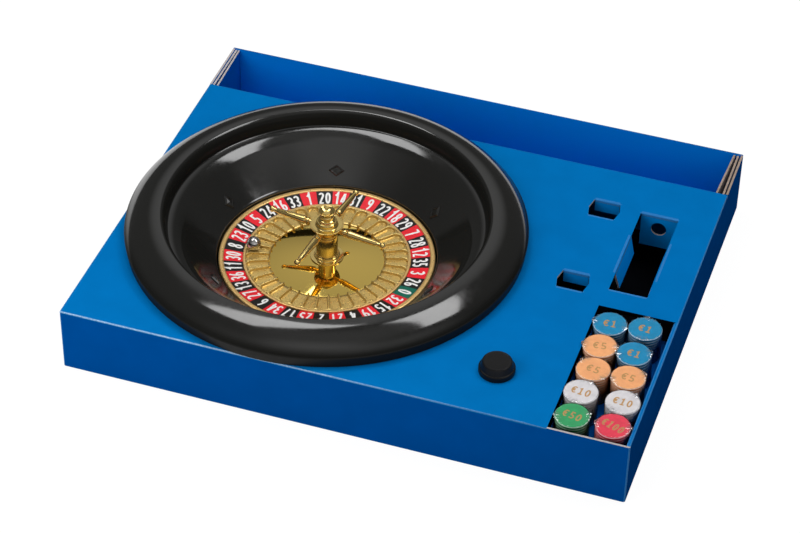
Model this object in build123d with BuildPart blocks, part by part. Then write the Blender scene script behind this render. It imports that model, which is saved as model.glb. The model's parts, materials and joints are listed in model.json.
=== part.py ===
from build123d import *
import math
import os

os.makedirs("parts", exist_ok=True)

# A roulette set in its folded board case. Millimetres, +Z up. X runs along the case's front,
# Y from front to back, and the origin is the centre of the case's footprint, at the table.

# ---------------------------------------------------------------- driving dimensions
# case of folded board
tray_height = 50.0
board = 1.5                     # printed board, all panels
field_width = 115.4             # room for the bin, the windows and the well, right of the wheel
trough_width = 49.8             # behind the platform, back wall included
fold_gap = 0.4                  # slit left at the root of a flap by its fold
cut_gap = 0.5                   # width of a die-cut line between two pieces of board

# chips, and the bin they stand in, in the case's front right corner
chip_radius = 11.7
chip_thickness = 2.3
chip_chamfer = 0.3
chips_in_stack = 10
stack_gap = 0.5                 # between neighbouring stacks
stack_edge_gap = 0.3            # stacks to the bin's left and right sides
stack_front_gap = 2.8
bin_play_across = 6.2
bin_play_along = 8.5
bin_recess = 21.5               # platform down to the bin's floor
bin_tuck = 1.5                  # floor runs on under the platform, to the left
bin_floor_overrun = 3.0         # and to the back
bin_side_end_gap = 0.3

# trough for the rolled layout: loose board layers at its two ends
layer_drop = 0.6
left_layer_gap = 0.5
right_layer_gap = 1.3
left_layer_splay = 1.2          # degrees, the inner layers stand off at the front
right_layer_splay = 2.5

# two rake windows and the well, cut into the platform with hinged flaps
rake_window_width = 19.0
rake_window_length = 17.6
rake_window_kink = 1.8
rake_window_right = 70.2        # case's right side to a window's right edge
rear_rake_window = 222.3        # case's front to a window's front edge
front_rake_window = 139.2
well_width = 27.5
well_length = 88.0
well_right = 26.5
well_front = 148.0
well_side_flap_length = 43.0
well_side_flap_start = 18.0
well_side_flap_slant = 1.6
well_side_flap_lean = 14.0      # degrees, as the creased board springs inwards
flap_end_gap = 0.4
flap_hole_radius = 5.5
flap_hole_drop = 11.5

# wheel bowl
bowl_left_gap = 0.6             # rim to the plane of the case's left side
bowl_front_gap = -1.7           # the rim overhangs the front wall
bowl_back_overhang = 5.1
bowl_skirt_radius = 141.0
bowl_wall = 2.4
skirt_clearance = 0.3
skirt_height = 7.4
skirt_flare = 1.0
rim_rise = 20.8                 # platform to the rim's crest
rim_crest_inset = 25.0          # widest radius to the crest
rim_inner_roll = 5.0
rim_inner_drop = 11.5           # crest to the foot of the rim's inner wall
track_slope = 10.0              # degrees down inwards, at the foot of the rim's inner wall
track_roll = 21.0               # radius of the roll from the ball track to the apron's cone
apron_drop = 18.8               # platform down to the apron's inner edge
well_lip = 0.7
well_step = 1.2
rotor_side_gap = 1.3
bowl_floor_drop = 32.7          # platform down to the floor under the rotor
bowl_boss_radius = 9.0
bowl_boss_height = 2.4
bowl_foot_radius = 66.0
hole_ledge = 7.6                # platform's ledge under the skirt
deflector_count = 6
deflector_inset = 6.6           # apron's inner edge to the middle of a deflector
deflector_first_angle = 45.0
deflector_length = 12.2
deflector_width = 8.6
deflector_rise = 1.2
deflector_edge = 0.3            # straight part of a deflector's side
deflector_root = 0.8

# rotor, with heights measured up from the underside of its hub
rotor_radius = 76.9
outer_ring_width = 3.6
outer_ring_top = 8.9
outer_ring_crown = 0.6
number_ring_width = 13.6
number_ring_slope = 9.0         # degrees, down towards the centre
number_ring_thickness = 0.3
number_ring_drop = 0.6          # outer ring's crown down to the number ring
number_ring_clearance = 0.1
inner_ring_width = 1.9
rotor_underside = 1.8
hub_radius = 9.0
thrust_gap = 0.1
pocket_count = 37
pocket_length = 16.5
first_pocket_angle = -15.4
fret_top = 7.4
pocket_depth = 2.2
pocket_end_wall = 0.4
fret_width = 1.4
disc_clearance = 0.3
disc_seat = 4.4
disc_edge_thickness = 1.6
disc_centre_thickness = 4.0

# spindle
pin_radius = 2.5
pin_run_clearance = 0.05
pin_reach = 1.2                 # past the disc, into the turret
pin_tail = 1.0                  # below the nut
bush_wall = 1.5
washer_radius = 7.0
washer_thickness = 0.6
nut_across_flats = 8.0
nut_height = 4.0

# turret, with each piece standing on the one below
flange_radius = 12.0
flange_thickness = 1.0
lower_collar_radius = 8.9
lower_collar_height = 1.8
upper_collar_radius = 8.3
upper_collar_height = 1.4
column_radius = 7.7
column_height = 17.3
groove_depth = 0.6
groove_width = 0.8
groove_drop = 1.1
neck_radius = 6.3
neck_height = 2.0
dish_radius = 11.9
dish_rise = 7.4                 # column's top to the dish's rim
dish_edge = 0.9
dish_lip = 1.4
dish_hollow = 0.3
cap_radius = 7.4
cap_height = 3.4
cap_bevel = 0.6
step_radius = 6.0
step_height = 2.2
finial_neck_radius = 4.8
finial_neck_height = 2.6
finial_cup_radius = 6.1
finial_cup_height = 3.8
finial_cup_depth = 2.4
spigot_radius = 1.5
spigot_length = 1.0
spigot_clearance = 0.05
pin_pocket_clearance = 0.6

# the turret's four arms, each turned about its own level axis
arm_count = 4
arm_first_angle = 81.6
arm_rise = 4.5                  # column's top to an arm's axis
arm_socket_floor = 5.0          # wheel's axis to the end of an arm in the hub
arm_socket_clearance = 0.05
arm_rod_radius = 1.8
arm_rod_end = 14.0
arm_collar_radius = 2.75
arm_collar_width = 1.6
arm_collar_groove = 0.8
arm_taper_length = 21.5
arm_taper_radius = 2.9
arm_tip_neck_radius = 1.5
arm_taper_end_radius = 1.9
arm_ball_radius = 2.2
arm_tip_radius = 46.0           # wheel's axis to the end of an arm

# loose pieces
ball_radius = 5.3
ball_track = 11.7               # pockets' inner ends to the middle of the ball
ball_pocket = 16                # counted clockwise from the first pocket
ball_gap = 0.15
marker_from_right = 102.4
marker_from_front = 42.0
marker_flange_radius = 12.45
marker_flange_height = 4.5
marker_shoulder_radius = 11.5
marker_top_radius = 10.15
marker_height = 9.4
marker_edge = 0.6

# ---------------------------------------------------------------- places worked out from them
rim_radius = bowl_skirt_radius + skirt_flare
platform_depth = bowl_front_gap + 2 * rim_radius - bowl_back_overhang
tray_depth = platform_depth + trough_width
tray_width = bowl_left_gap + 2 * rim_radius + field_width
left = -tray_width / 2
right = tray_width / 2
front = -tray_depth / 2
back = tray_depth / 2
under_platform = tray_height - board
platform_back = front + platform_depth

stack_pitch = 2 * chip_radius + stack_gap
bin_width = 2 * board + 4 * chip_radius + bin_play_across
bin_length = board + 4 * stack_pitch + 2 * chip_radius + bin_play_along
bin_left = right - bin_width
bin_back = front + bin_length
bin_floor_top = tray_height - bin_recess

bowl_x = left + bowl_left_gap + rim_radius
bowl_y = front + bowl_front_gap + rim_radius
wheel_axis = Axis((bowl_x, bowl_y, 0), (0, 0, 1))
wheel_section = Plane(origin=(bowl_x, bowl_y, 0), x_dir=(1, 0, 0), z_dir=(0, -1, 0))
bowl_hole_radius = bowl_skirt_radius - bowl_wall - hole_ledge


def wheel_plane(height):
    """The level plane at a height above the table, centred on the wheel."""
    return Plane(origin=(bowl_x, bowl_y, height))


def save(piece, name):
    """Labels a finished piece and writes its file."""
    piece.part.label = name
    export_step(piece.part, f"parts/{name}.step")


# ---------------------------------------------------------------- folded board case
rake_window_x = right - rake_window_right - rake_window_width / 2
well_x = right - well_right - well_width / 2
well_y = front + well_front + well_length / 2
rake_windows = {
    "rear_rake": front + rear_rake_window + rake_window_length / 2,
    "front_rake": front + front_rake_window + rake_window_length / 2,
}

with BuildPart() as bottom_panel:
    with BuildSketch(Plane.XY):
        Rectangle(tray_width, tray_depth)
    extrude(amount=board)
save(bottom_panel, "bottom_panel")

with BuildPart() as platform_panel:
    with BuildSketch(Plane.XY.offset(under_platform)):
        with Locations((0, (front + platform_back) / 2)):
            Rectangle(tray_width, platform_depth)
        with Locations((bowl_x, bowl_y)):
            Circle(bowl_hole_radius, mode=Mode.SUBTRACT)
        with Locations((right - bin_width / 2, front + bin_length / 2)):
            Rectangle(bin_width, bin_length, mode=Mode.SUBTRACT)
        with Locations((well_x, well_y)):
            Rectangle(well_width, well_length, mode=Mode.SUBTRACT)
        for window_y in rake_windows.values():
            half_width = rake_window_width / 2
            half_length = rake_window_length / 2
            with BuildLine():
                Polyline(
                    (rake_window_x - half_width, window_y + half_length),
                    (rake_window_x + half_width, window_y + half_length),
                    (rake_window_x + half_width + rake_window_kink, window_y),
                    (rake_window_x + half_width, window_y - half_length),
                    (rake_window_x - half_width, window_y - half_length),
                    (rake_window_x - half_width - rake_window_kink, window_y),
                    close=True,
                )
            make_face(mode=Mode.SUBTRACT)
    extrude(amount=board)
save(platform_panel, "platform_panel")

# Walls stand on the bottom panel. Where the platform is cut away, a wall runs on up to the top.
with BuildPart() as front_wall:
    with BuildSketch(Plane.XZ.offset(-front)):
        with Locations((0, (board + under_platform) / 2)):
            Rectangle(tray_width, under_platform - board)
        with Locations((right - bin_width / 2, tray_height - board / 2)):
            Rectangle(bin_width, board)
    extrude(amount=-board)
save(front_wall, "front_wall")

for name, wall_x, has_bin in (("left_wall", left, False), ("right_wall", right - board, True)):
    with BuildPart() as side_wall:
        with BuildSketch(Plane.YZ.offset(wall_x)):
            with Locations((0, (board + under_platform) / 2)):
                Rectangle(tray_depth - 2 * board, under_platform - board)
            trough_span = back - board - platform_back
            with Locations((platform_back + trough_span / 2, tray_height - board / 2)):
                Rectangle(trough_span, board)
            if has_bin:
                bin_span = bin_length - board
                with Locations((bin_back - bin_span / 2, tray_height - board / 2)):
                    Rectangle(bin_span, board)
        extrude(amount=board)
    save(side_wall, name)

with BuildPart() as back_wall:
    with BuildSketch(Plane.XZ.offset(-back)):
        with Locations((0, (board + tray_height) / 2)):
            Rectangle(tray_width, tray_height - board)
    extrude(amount=board)
save(back_wall, "back_wall")

with BuildPart() as trough_front_wall:
    with BuildSketch(Plane.XZ.offset(-platform_back)):
        with Locations((0, (board + under_platform) / 2)):
            Rectangle(tray_width - 2 * board, under_platform - board)
    extrude(amount=board)
save(trough_front_wall, "trough_front_wall")

# Loose layers of board at the trough's ends: a dust flap, and the lining in front of it.
# Each is a plate set back from the trough's front and turned a little about its back edge.
layer_depth = back - board - platform_back - cut_gap
trough_ends = (
    ("left", -1, left_layer_gap, left_layer_splay),
    ("right", 1, right_layer_gap, right_layer_splay),
)
for side_name, side, gap, full_splay in trough_ends:
    for order, kind in enumerate(("flap", "lining")):
        inset = (order + 1) * (board + gap)
        splay = math.radians(full_splay * order)
        layer_plane = Plane(
            origin=(side * (tray_width / 2 - inset), back - board - cut_gap / 2, board),
            x_dir=(-side * math.sin(splay), -math.cos(splay), 0),
            z_dir=(0, 0, 1),
        )
        with BuildPart() as trough_layer:
            with BuildSketch(layer_plane):
                with Locations((0, 0)):
                    Rectangle(
                        layer_depth,
                        board,
                        align=(Align.MIN, Align.MAX if side > 0 else Align.MIN),
                    )
            extrude(amount=tray_height - board - layer_drop)
        save(trough_layer, f"trough_{side_name}_{kind}")

# The bin's floor hangs from the lining of the right wall and stands on a leg at its left.
bin_floor_left = bin_left - bin_tuck
bin_floor_right = right - 2 * board
bin_floor_back = bin_back + bin_floor_overrun
bin_floor_width = bin_floor_right - bin_floor_left
bin_floor_length = bin_floor_back - front - board
with BuildPart() as bin_floor:
    with BuildSketch(Plane.XY.offset(bin_floor_top - board)):
        with Locations((bin_floor_left, front + board)):
            Rectangle(bin_floor_width, bin_floor_length, align=(Align.MIN, Align.MIN))
    extrude(amount=board)
save(bin_floor, "bin_floor")

with BuildPart() as bin_leg:
    with BuildSketch(Plane.XY.offset(board)):
        with Locations((bin_floor_left - board, front + board)):
            Rectangle(board, bin_floor_length, align=(Align.MIN, Align.MIN))
    extrude(amount=bin_floor_top - board)
save(bin_leg, "bin_leg")

with BuildPart() as bin_side:
    with BuildSketch(Plane.XY.offset(bin_floor_top - board)):
        with Locations((bin_floor_right, front + board)):
            Rectangle(
                board,
                bin_length - board - bin_side_end_gap,
                align=(Align.MIN, Align.MIN),
            )
    extrude(amount=bin_recess + board)
save(bin_side, "bin_side")


# ---------------------------------------------------------------- hinged flaps
def flap_plane(edge_x, edge_y, facing, lean):
    """A plane on a hanging flap's middle layer: x along the crease, y up the flap, z towards
    the middle of the window. Its origin is the fold, half a board behind the window's edge."""
    turn = math.radians(facing)
    tilt = math.radians(lean)
    level = Vector(math.cos(turn), math.sin(turn), 0)
    face = level * math.cos(tilt) + Vector(0, 0, 1) * math.sin(tilt)
    fold = Vector(edge_x, edge_y, tray_height - board / 2) - level * (board / 2)
    along = Vector(-math.sin(turn), math.cos(turn), 0)
    return Plane(origin=fold, x_dir=along, z_dir=face)


def hang_flap(name, edge_x, edge_y, facing, width, reach, lean=0.0, slant=0.0, hole=False):
    """A flap hanging from its fold, as wide as its crease and as deep as it reaches when flush."""
    root = board / 2 + fold_gap
    tip = board / 2 + reach
    with BuildPart() as flap:
        with BuildSketch(flap_plane(edge_x, edge_y, facing, lean).offset(-board / 2)):
            with BuildLine():
                Polyline(
                    (-width / 2, -root),
                    (width / 2, -root),
                    (width / 2 - slant, -tip),
                    (slant - width / 2, -tip),
                    close=True,
                )
            make_face()
            if hole:
                with Locations((0, board / 2 - flap_hole_drop)):
                    Circle(flap_hole_radius, mode=Mode.SUBTRACT)
        extrude(amount=board)
    save(flap, name)


BACKWARDS, FORWARDS, RIGHTWARDS, LEFTWARDS = 90, -90, 0, 180
rake_tab_reach = (rake_window_length - cut_gap) / 2
rake_tab_width = rake_window_width - 2 * flap_end_gap
for window_name, window_y in rake_windows.items():
    half_length = rake_window_length / 2
    hang_flap(
        f"{window_name}_back_tab",
        rake_window_x,
        window_y + half_length,
        FORWARDS,
        rake_tab_width,
        rake_tab_reach,
    )
    hang_flap(
        f"{window_name}_front_tab",
        rake_window_x,
        window_y - half_length,
        BACKWARDS,
        rake_tab_width,
        rake_tab_reach,
    )

well_flap_width = well_width - 2 * flap_end_gap
well_side_reach = (well_width - cut_gap) / 2
well_side_y = front + well_front + well_side_flap_start + well_side_flap_length / 2
hang_flap(
    "well_back_flap",
    well_x,
    well_y + well_length / 2,
    FORWARDS,
    well_flap_width,
    well_length - well_side_flap_start - well_side_flap_length - cut_gap,
    hole=True,
)
hang_flap(
    "well_front_flap",
    well_x,
    well_y - well_length / 2,
    BACKWARDS,
    well_flap_width,
    well_side_flap_start - cut_gap,
)
hang_flap(
    "well_left_flap",
    well_x - well_width / 2,
    well_side_y,
    RIGHTWARDS,
    well_side_flap_length,
    well_side_reach,
    lean=well_side_flap_lean,
    slant=well_side_flap_slant,
)
hang_flap(
    "well_right_flap",
    well_x + well_width / 2,
    well_side_y,
    LEFTWARDS,
    well_side_flap_length,
    well_side_reach,
    lean=well_side_flap_lean,
    slant=well_side_flap_slant,
)

# ---------------------------------------------------------------- wheel bowl
skirt_bottom = tray_height + skirt_clearance
skirt_top = skirt_bottom + skirt_height
crest_radius = rim_radius - rim_crest_inset
crest_height = tray_height + rim_rise
bowl_floor = tray_height - bowl_floor_drop
well_radius = rotor_radius + rotor_side_gap
rim_foot = Vector(crest_radius - rim_inner_roll, crest_height - rim_inner_drop)
apron_foot = Vector(well_radius + well_step, tray_height - apron_drop)

# the crown is one arc, level at the crest, that ends at the rim's outer edge
crown_rise = crest_height - skirt_top
crown_radius = (rim_crest_inset**2 + crown_rise**2) / (2 * crown_rise)
crown_end = math.degrees(math.acos(rim_crest_inset / crown_radius))

# the ball track rolls over into the apron, a straight cone that touches its arc
track_lean = math.radians(track_slope)
track_centre = rim_foot + Vector(math.sin(track_lean), -math.cos(track_lean)) * track_roll
to_foot = apron_foot - track_centre
foot_turn = math.degrees(math.atan2(to_foot.Y, to_foot.X)) % 360
track_end = foot_turn - math.degrees(math.acos(track_roll / to_foot.length))
apron_lean = math.radians(track_end - 90)
apron_top = track_centre + Vector(-math.sin(apron_lean), math.cos(apron_lean)) * track_roll


def apron_plane(radius, angle):
    """A plane lying on the apron: x outwards, y along the wheel's turn, z off the surface."""
    height = apron_foot.Y + (radius - apron_foot.X) * math.tan(apron_lean)
    turn = math.radians(angle)
    outwards = Vector(math.cos(turn), math.sin(turn), 0)
    off_surface = Vector(0, 0, math.cos(apron_lean)) - outwards * math.sin(apron_lean)
    return Plane(
        origin=Vector(bowl_x, bowl_y, height) + outwards * radius,
        x_dir=Vector(-math.sin(turn), math.cos(turn), 0).cross(off_surface),
        z_dir=off_surface,
    )


with BuildPart() as bowl:
    # one wall, from the skirt over the rim and down the apron to the floor under the rotor
    with BuildSketch(wheel_section):
        with BuildLine():
            Line((bowl_skirt_radius, skirt_bottom), (rim_radius, skirt_top))
            CenterArc(
                (crest_radius, crest_height - crown_radius),
                crown_radius,
                crown_end,
                90 - crown_end,
            )
            CenterArc((crest_radius, crest_height - rim_inner_roll), rim_inner_roll, 90, 90)
            Line((rim_foot.X, crest_height - rim_inner_roll), rim_foot)
            CenterArc(track_centre, track_roll, 90 + track_slope, track_end - 90 - track_slope)
            Line(apron_top, apron_foot)
            Line(apron_foot, (well_radius, apron_foot.Y - well_lip))
            Line((well_radius, apron_foot.Y - well_lip), (well_radius, bowl_floor))
            Line((well_radius, bowl_floor), (bowl_boss_radius, bowl_floor))
            offset(amount=bowl_wall, side=Side.LEFT, closed=True, kind=Kind.INTERSECTION)
        make_face()
    revolve(axis=wheel_axis)
    # boss that holds the pin, and the foot ring that stands on the case's bottom
    with BuildSketch(wheel_plane(bowl_floor - bowl_wall)):
        Circle(bowl_boss_radius)
        Circle(pin_radius, mode=Mode.SUBTRACT)
    extrude(amount=bowl_wall + bowl_boss_height)
    with BuildSketch(wheel_plane(board)):
        Circle(bowl_foot_radius)
        Circle(bowl_foot_radius - bowl_wall, mode=Mode.SUBTRACT)
    extrude(amount=bowl_floor - bowl_wall / 2 - board)
    # lozenge deflectors, every other one turned across
    for index in range(deflector_count):
        angle = deflector_first_angle + index * 360 / deflector_count
        lengths = (deflector_length / 2, deflector_width / 2)
        out_half, side_half = lengths if index % 2 == 0 else lengths[::-1]
        place = apron_plane(well_radius + well_step + deflector_inset, angle)
        with BuildSketch(place.offset(-deflector_root)):
            with BuildLine():
                Polyline(
                    (out_half, 0), (0, side_half), (-out_half, 0), (0, -side_half), close=True
                )
            make_face()
        extrude(amount=deflector_root + deflector_edge)
        with BuildSketch(place.offset(deflector_edge)):
            with BuildLine():
                Polyline(
                    (out_half, 0), (0, side_half), (-out_half, 0), (0, -side_half), close=True
                )
            make_face()
        extrude(amount=deflector_rise - deflector_edge, taper=60)
save(bowl, "bowl")

# ---------------------------------------------------------------- spindle
boss_top = bowl_floor + bowl_boss_height
hub_bottom = boss_top + washer_thickness + thrust_gap
disc_bottom = hub_bottom + disc_seat
disc_top = disc_bottom + disc_centre_thickness
nut_top = bowl_floor - bowl_wall
pin_bottom = nut_top - nut_height - pin_tail
bush_radius = pin_radius + pin_run_clearance + bush_wall

with BuildPart() as spindle_pin:
    with BuildSketch(wheel_plane(pin_bottom)):
        Circle(pin_radius)
    extrude(amount=disc_top + pin_reach - pin_bottom)
    chamfer(spindle_pin.edges().filter_by(GeomType.CIRCLE).sort_by(Axis.Z)[-1], pin_radius / 4)
save(spindle_pin, "spindle_pin")

with BuildPart() as spindle_washer:
    with BuildSketch(wheel_plane(boss_top)):
        Circle(washer_radius)
        Circle(pin_radius, mode=Mode.SUBTRACT)
    extrude(amount=washer_thickness)
save(spindle_washer, "spindle_washer")

with BuildPart() as spindle_nut:
    with BuildSketch(wheel_plane(nut_top)):
        RegularPolygon(nut_across_flats / 2, 6, major_radius=False)
        Circle(pin_radius, mode=Mode.SUBTRACT)
    extrude(amount=-nut_height)
save(spindle_nut, "spindle_nut")

with BuildPart() as rotor_bush:
    with BuildSketch(wheel_plane(hub_bottom)):
        Circle(bush_radius)
        Circle(pin_radius + pin_run_clearance, mode=Mode.SUBTRACT)
    extrude(amount=disc_top - hub_bottom)
save(rotor_bush, "rotor_bush")

# ---------------------------------------------------------------- rotor
number_ring_outer = rotor_radius - outer_ring_width
number_ring_inner = number_ring_outer - number_ring_width
pocket_outer = number_ring_inner - inner_ring_width
pocket_inner = pocket_outer - pocket_length
ring_crown = hub_bottom + outer_ring_top
ring_shoulder = ring_crown - outer_ring_crown
number_ring_top = ring_crown - number_ring_drop
number_ring_seat = number_ring_top - number_ring_thickness
number_ring_fall = number_ring_width * math.tan(math.radians(number_ring_slope))
frets = hub_bottom + fret_top
half_step = math.radians(180 / pocket_count)

# Pockets run between straight frets and end in an arc that is tangent to both of them.
end_outer = pocket_outer - pocket_end_wall
end_centre = (end_outer + fret_width / 2) / (1 + math.sin(half_step))
end_radius = end_outer - end_centre
end_start = Vector(
    end_centre - end_radius * math.sin(half_step), end_radius * math.cos(half_step)
)
mouth_radius = pocket_inner - fret_width
mouth_side = mouth_radius * math.tan(half_step) - fret_width / 2 / math.cos(half_step)
with BuildSketch() as pocket_outline:
    with BuildLine():
        Polyline(
            (end_start.X, -end_start.Y),
            (mouth_radius, -mouth_side),
            (mouth_radius, mouth_side),
            end_start,
        )
        ThreePointArc(end_start, (end_outer, 0), (end_start.X, -end_start.Y))
    make_face()

with BuildPart() as rotor_plate:
    with BuildSketch(wheel_section):
        with BuildLine():
            Polyline(
                (rotor_radius, ring_shoulder),
                (rotor_radius, hub_bottom + rotor_underside),
                (hub_radius, hub_bottom + rotor_underside),
                (hub_radius, hub_bottom),
                (bush_radius, hub_bottom),
                (bush_radius, disc_bottom),
                (pocket_inner, disc_bottom),
                (pocket_inner, frets),
                (number_ring_inner, frets),
                (number_ring_inner, number_ring_seat - number_ring_fall),
                (number_ring_outer, number_ring_seat),
                (number_ring_outer, ring_shoulder),
            )
            ThreePointArc(
                (number_ring_outer, ring_shoulder),
                (number_ring_outer + outer_ring_width / 2, ring_crown),
                (rotor_radius, ring_shoulder),
            )
        make_face()
    revolve(axis=wheel_axis)
    with BuildSketch(wheel_plane(frets)):
        with PolarLocations(0, pocket_count, start_angle=first_pocket_angle):
            add(pocket_outline.sketch)
    extrude(amount=-pocket_depth, mode=Mode.SUBTRACT)
save(rotor_plate, "rotor_plate")

with BuildPart() as number_ring:
    with BuildSketch(wheel_section):
        slope_inset = number_ring_clearance * math.tan(math.radians(number_ring_slope))
        ring_in = number_ring_inner + number_ring_clearance
        ring_out = number_ring_outer - number_ring_clearance
        ring_low = number_ring_seat - number_ring_fall + slope_inset
        ring_high = number_ring_seat - slope_inset
        with BuildLine():
            Polyline(
                (ring_in, ring_low),
                (ring_out, ring_high),
                (ring_out, ring_high + number_ring_thickness),
                (ring_in, ring_low + number_ring_thickness),
                close=True,
            )
        make_face()
    revolve(axis=wheel_axis)
save(number_ring, "number_ring")

with BuildPart() as cone_disc:
    with BuildSketch(wheel_section):
        disc_radius = pocket_inner - disc_clearance
        with BuildLine():
            Polyline(
                (bush_radius, disc_bottom),
                (disc_radius, disc_bottom),
                (disc_radius, disc_bottom + disc_edge_thickness),
                (flange_radius, disc_top),
                (bush_radius, disc_top),
                close=True,
            )
        make_face()
    revolve(axis=wheel_axis)
save(cone_disc, "cone_disc")

# ---------------------------------------------------------------- turret
flange_top = disc_top + flange_thickness
collar_step = flange_top + lower_collar_height
base_top = collar_step + upper_collar_height
column_top = base_top + column_height
dish_top = column_top + dish_rise
cap_top = dish_top + cap_height
hub_top = cap_top + step_height
arm_level = column_top + arm_rise

with BuildPart() as turret_base:
    with BuildSketch(wheel_section):
        with BuildLine():
            Polyline(
                (0, disc_top),
                (flange_radius, disc_top),
                (flange_radius, flange_top),
                (lower_collar_radius, flange_top),
                (lower_collar_radius, collar_step),
                (upper_collar_radius, collar_step),
                (upper_collar_radius, base_top),
                (0, base_top),
                close=True,
            )
        make_face()
    revolve(axis=wheel_axis)
    with BuildSketch(wheel_plane(disc_top)):
        Circle(pin_radius + pin_pocket_clearance)
    extrude(amount=pin_reach + pin_pocket_clearance, mode=Mode.SUBTRACT)
    with BuildSketch(wheel_plane(base_top)):
        Circle(spigot_radius + spigot_clearance)
    extrude(amount=-(spigot_length + spigot_clearance), mode=Mode.SUBTRACT)
save(turret_base, "turret_base")

with BuildPart() as turret_column:
    with BuildSketch(wheel_plane(base_top)):
        Circle(column_radius)
    extrude(amount=column_height)
    with BuildSketch(wheel_plane(column_top - groove_drop)):
        Circle(column_radius)
        Circle(column_radius - groove_depth, mode=Mode.SUBTRACT)
    extrude(amount=-groove_width, mode=Mode.SUBTRACT)
    with BuildSketch(wheel_plane(base_top - spigot_length)):
        Circle(spigot_radius)
    extrude(amount=column_height + 2 * spigot_length)
save(turret_column, "turret_column")

with BuildPart() as turret_hub:
    with BuildSketch(wheel_section):
        with BuildLine():
            Line((0, column_top), (neck_radius, column_top))
            Line((neck_radius, column_top), (neck_radius + cap_bevel, column_top + neck_height))
            flare = ThreePointArc(
                (neck_radius + cap_bevel, column_top + neck_height),
                (
                    (neck_radius + dish_radius) / 2 + cap_bevel,
                    (column_top + dish_top) / 2 - dish_edge / 2,
                ),
                (dish_radius - dish_lip, dish_top - 2 * dish_edge),
            )
            Polyline(
                flare @ 1,
                (dish_radius, dish_top - dish_edge),
                (dish_radius, dish_top),
                (dish_radius - dish_lip, dish_top - dish_hollow),
                (cap_radius + cap_bevel, dish_top - dish_hollow),
                (cap_radius, dish_top + cap_bevel),
                (cap_radius, cap_top - cap_bevel),
                (cap_radius - cap_bevel, cap_top),
                (step_radius, cap_top),
                (step_radius, hub_top - cap_bevel),
                (finial_neck_radius, hub_top),
                (0, hub_top),
                (0, column_top),
            )
        make_face()
    revolve(axis=wheel_axis)
    for level, depth in ((column_top, spigot_length), (hub_top, -spigot_length)):
        with BuildSketch(wheel_plane(level)):
            Circle(spigot_radius + spigot_clearance)
        extrude(amount=depth * (1 + spigot_clearance), mode=Mode.SUBTRACT)
    # sockets that the arms' rods are pushed into
    for index in range(arm_count):
        turn = math.radians(arm_first_angle + index * 360 / arm_count)
        outwards = Vector(math.cos(turn), math.sin(turn), 0)
        socket_floor = Vector(bowl_x, bowl_y, arm_level) + outwards * arm_socket_floor
        with BuildSketch(Plane(origin=socket_floor, x_dir=(0, 0, 1), z_dir=outwards)):
            Circle(arm_rod_radius + arm_socket_clearance)
        extrude(amount=dish_radius, mode=Mode.SUBTRACT)
save(turret_hub, "turret_hub")

taper_start = arm_rod_end + 2 * arm_collar_width + arm_collar_groove
taper_end = taper_start + arm_taper_length
ball_centre = arm_tip_radius - arm_ball_radius
ball_join = math.sqrt(arm_ball_radius**2 - arm_tip_neck_radius**2)
for index in range(arm_count):
    turn = math.radians(arm_first_angle + index * 360 / arm_count)
    outwards = Vector(math.cos(turn), math.sin(turn), 0)
    arm_origin = Vector(bowl_x, bowl_y, arm_level)
    arm_section = Plane(origin=arm_origin, x_dir=outwards, z_dir=outwards.cross(Vector(0, 0, 1)))
    with BuildPart() as turret_arm:
        with BuildSketch(arm_section):
            with BuildLine():
                Polyline(
                    (arm_tip_radius, 0),
                    (arm_socket_floor, 0),
                    (arm_socket_floor, arm_rod_radius),
                    (arm_rod_end, arm_rod_radius),
                    (arm_rod_end, arm_collar_radius),
                    (arm_rod_end + arm_collar_width, arm_collar_radius),
                    (arm_rod_end + arm_collar_width, arm_rod_radius),
                    (arm_rod_end + arm_collar_width + arm_collar_groove, arm_rod_radius),
                    (arm_rod_end + arm_collar_width + arm_collar_groove, arm_collar_radius),
                    (taper_start, arm_taper_radius),
                    (taper_end, arm_taper_end_radius),
                    (taper_end, arm_tip_neck_radius),
                    (ball_centre - ball_join, arm_tip_neck_radius),
                )
                ThreePointArc(
                    (ball_centre - ball_join, arm_tip_neck_radius),
                    (ball_centre, arm_ball_radius),
                    (arm_tip_radius, 0),
                )
            make_face()
        revolve(axis=Axis(arm_origin, outwards))
    save(turret_arm, f"turret_arm_{index + 1}")

with BuildPart() as turret_finial:
    cup_base = hub_top + finial_neck_height
    cup_top = cup_base + finial_cup_height
    with BuildSketch(wheel_section):
        with BuildLine():
            Polyline(
                (0, cup_top - finial_cup_depth),
                (0, hub_top),
                (finial_neck_radius, hub_top),
                (finial_neck_radius, cup_base - cap_bevel),
                (finial_neck_radius - cap_bevel, cup_base),
            )
            ThreePointArc(
                (finial_neck_radius - cap_bevel, cup_base),
                (finial_neck_radius + cap_bevel / 2, cup_base + finial_cup_height / 3),
                (finial_cup_radius, cup_top),
            )
            Line((finial_cup_radius, cup_top), (finial_cup_radius - cap_bevel, cup_top))
            TangentArc(
                (0, cup_top - finial_cup_depth),
                (finial_cup_radius - cap_bevel, cup_top),
                tangent=(1, 0),
            )
        make_face()
    revolve(axis=wheel_axis)
    with BuildSketch(wheel_plane(hub_top)):
        Circle(spigot_radius)
    extrude(amount=-spigot_length)
save(turret_finial, "turret_finial")

# ---------------------------------------------------------------- loose pieces
# The ball is wider than a pocket, so it rests on the edges of the two frets beside it.
ball_radius_out = pocket_inner + ball_track
ball_half_gap = ball_radius_out * math.sin(half_step) - fret_width / 2
ball_turn = math.radians(first_pocket_angle - ball_pocket * 360 / pocket_count)
ball_height = frets + math.sqrt(ball_radius**2 - ball_half_gap**2) + ball_gap
ball_place = Vector(math.cos(ball_turn), math.sin(ball_turn), 0) * ball_radius_out
with BuildPart(Plane(origin=Vector(bowl_x, bowl_y, ball_height) + ball_place)) as ball:
    Sphere(ball_radius)
save(ball, "ball")

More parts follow.
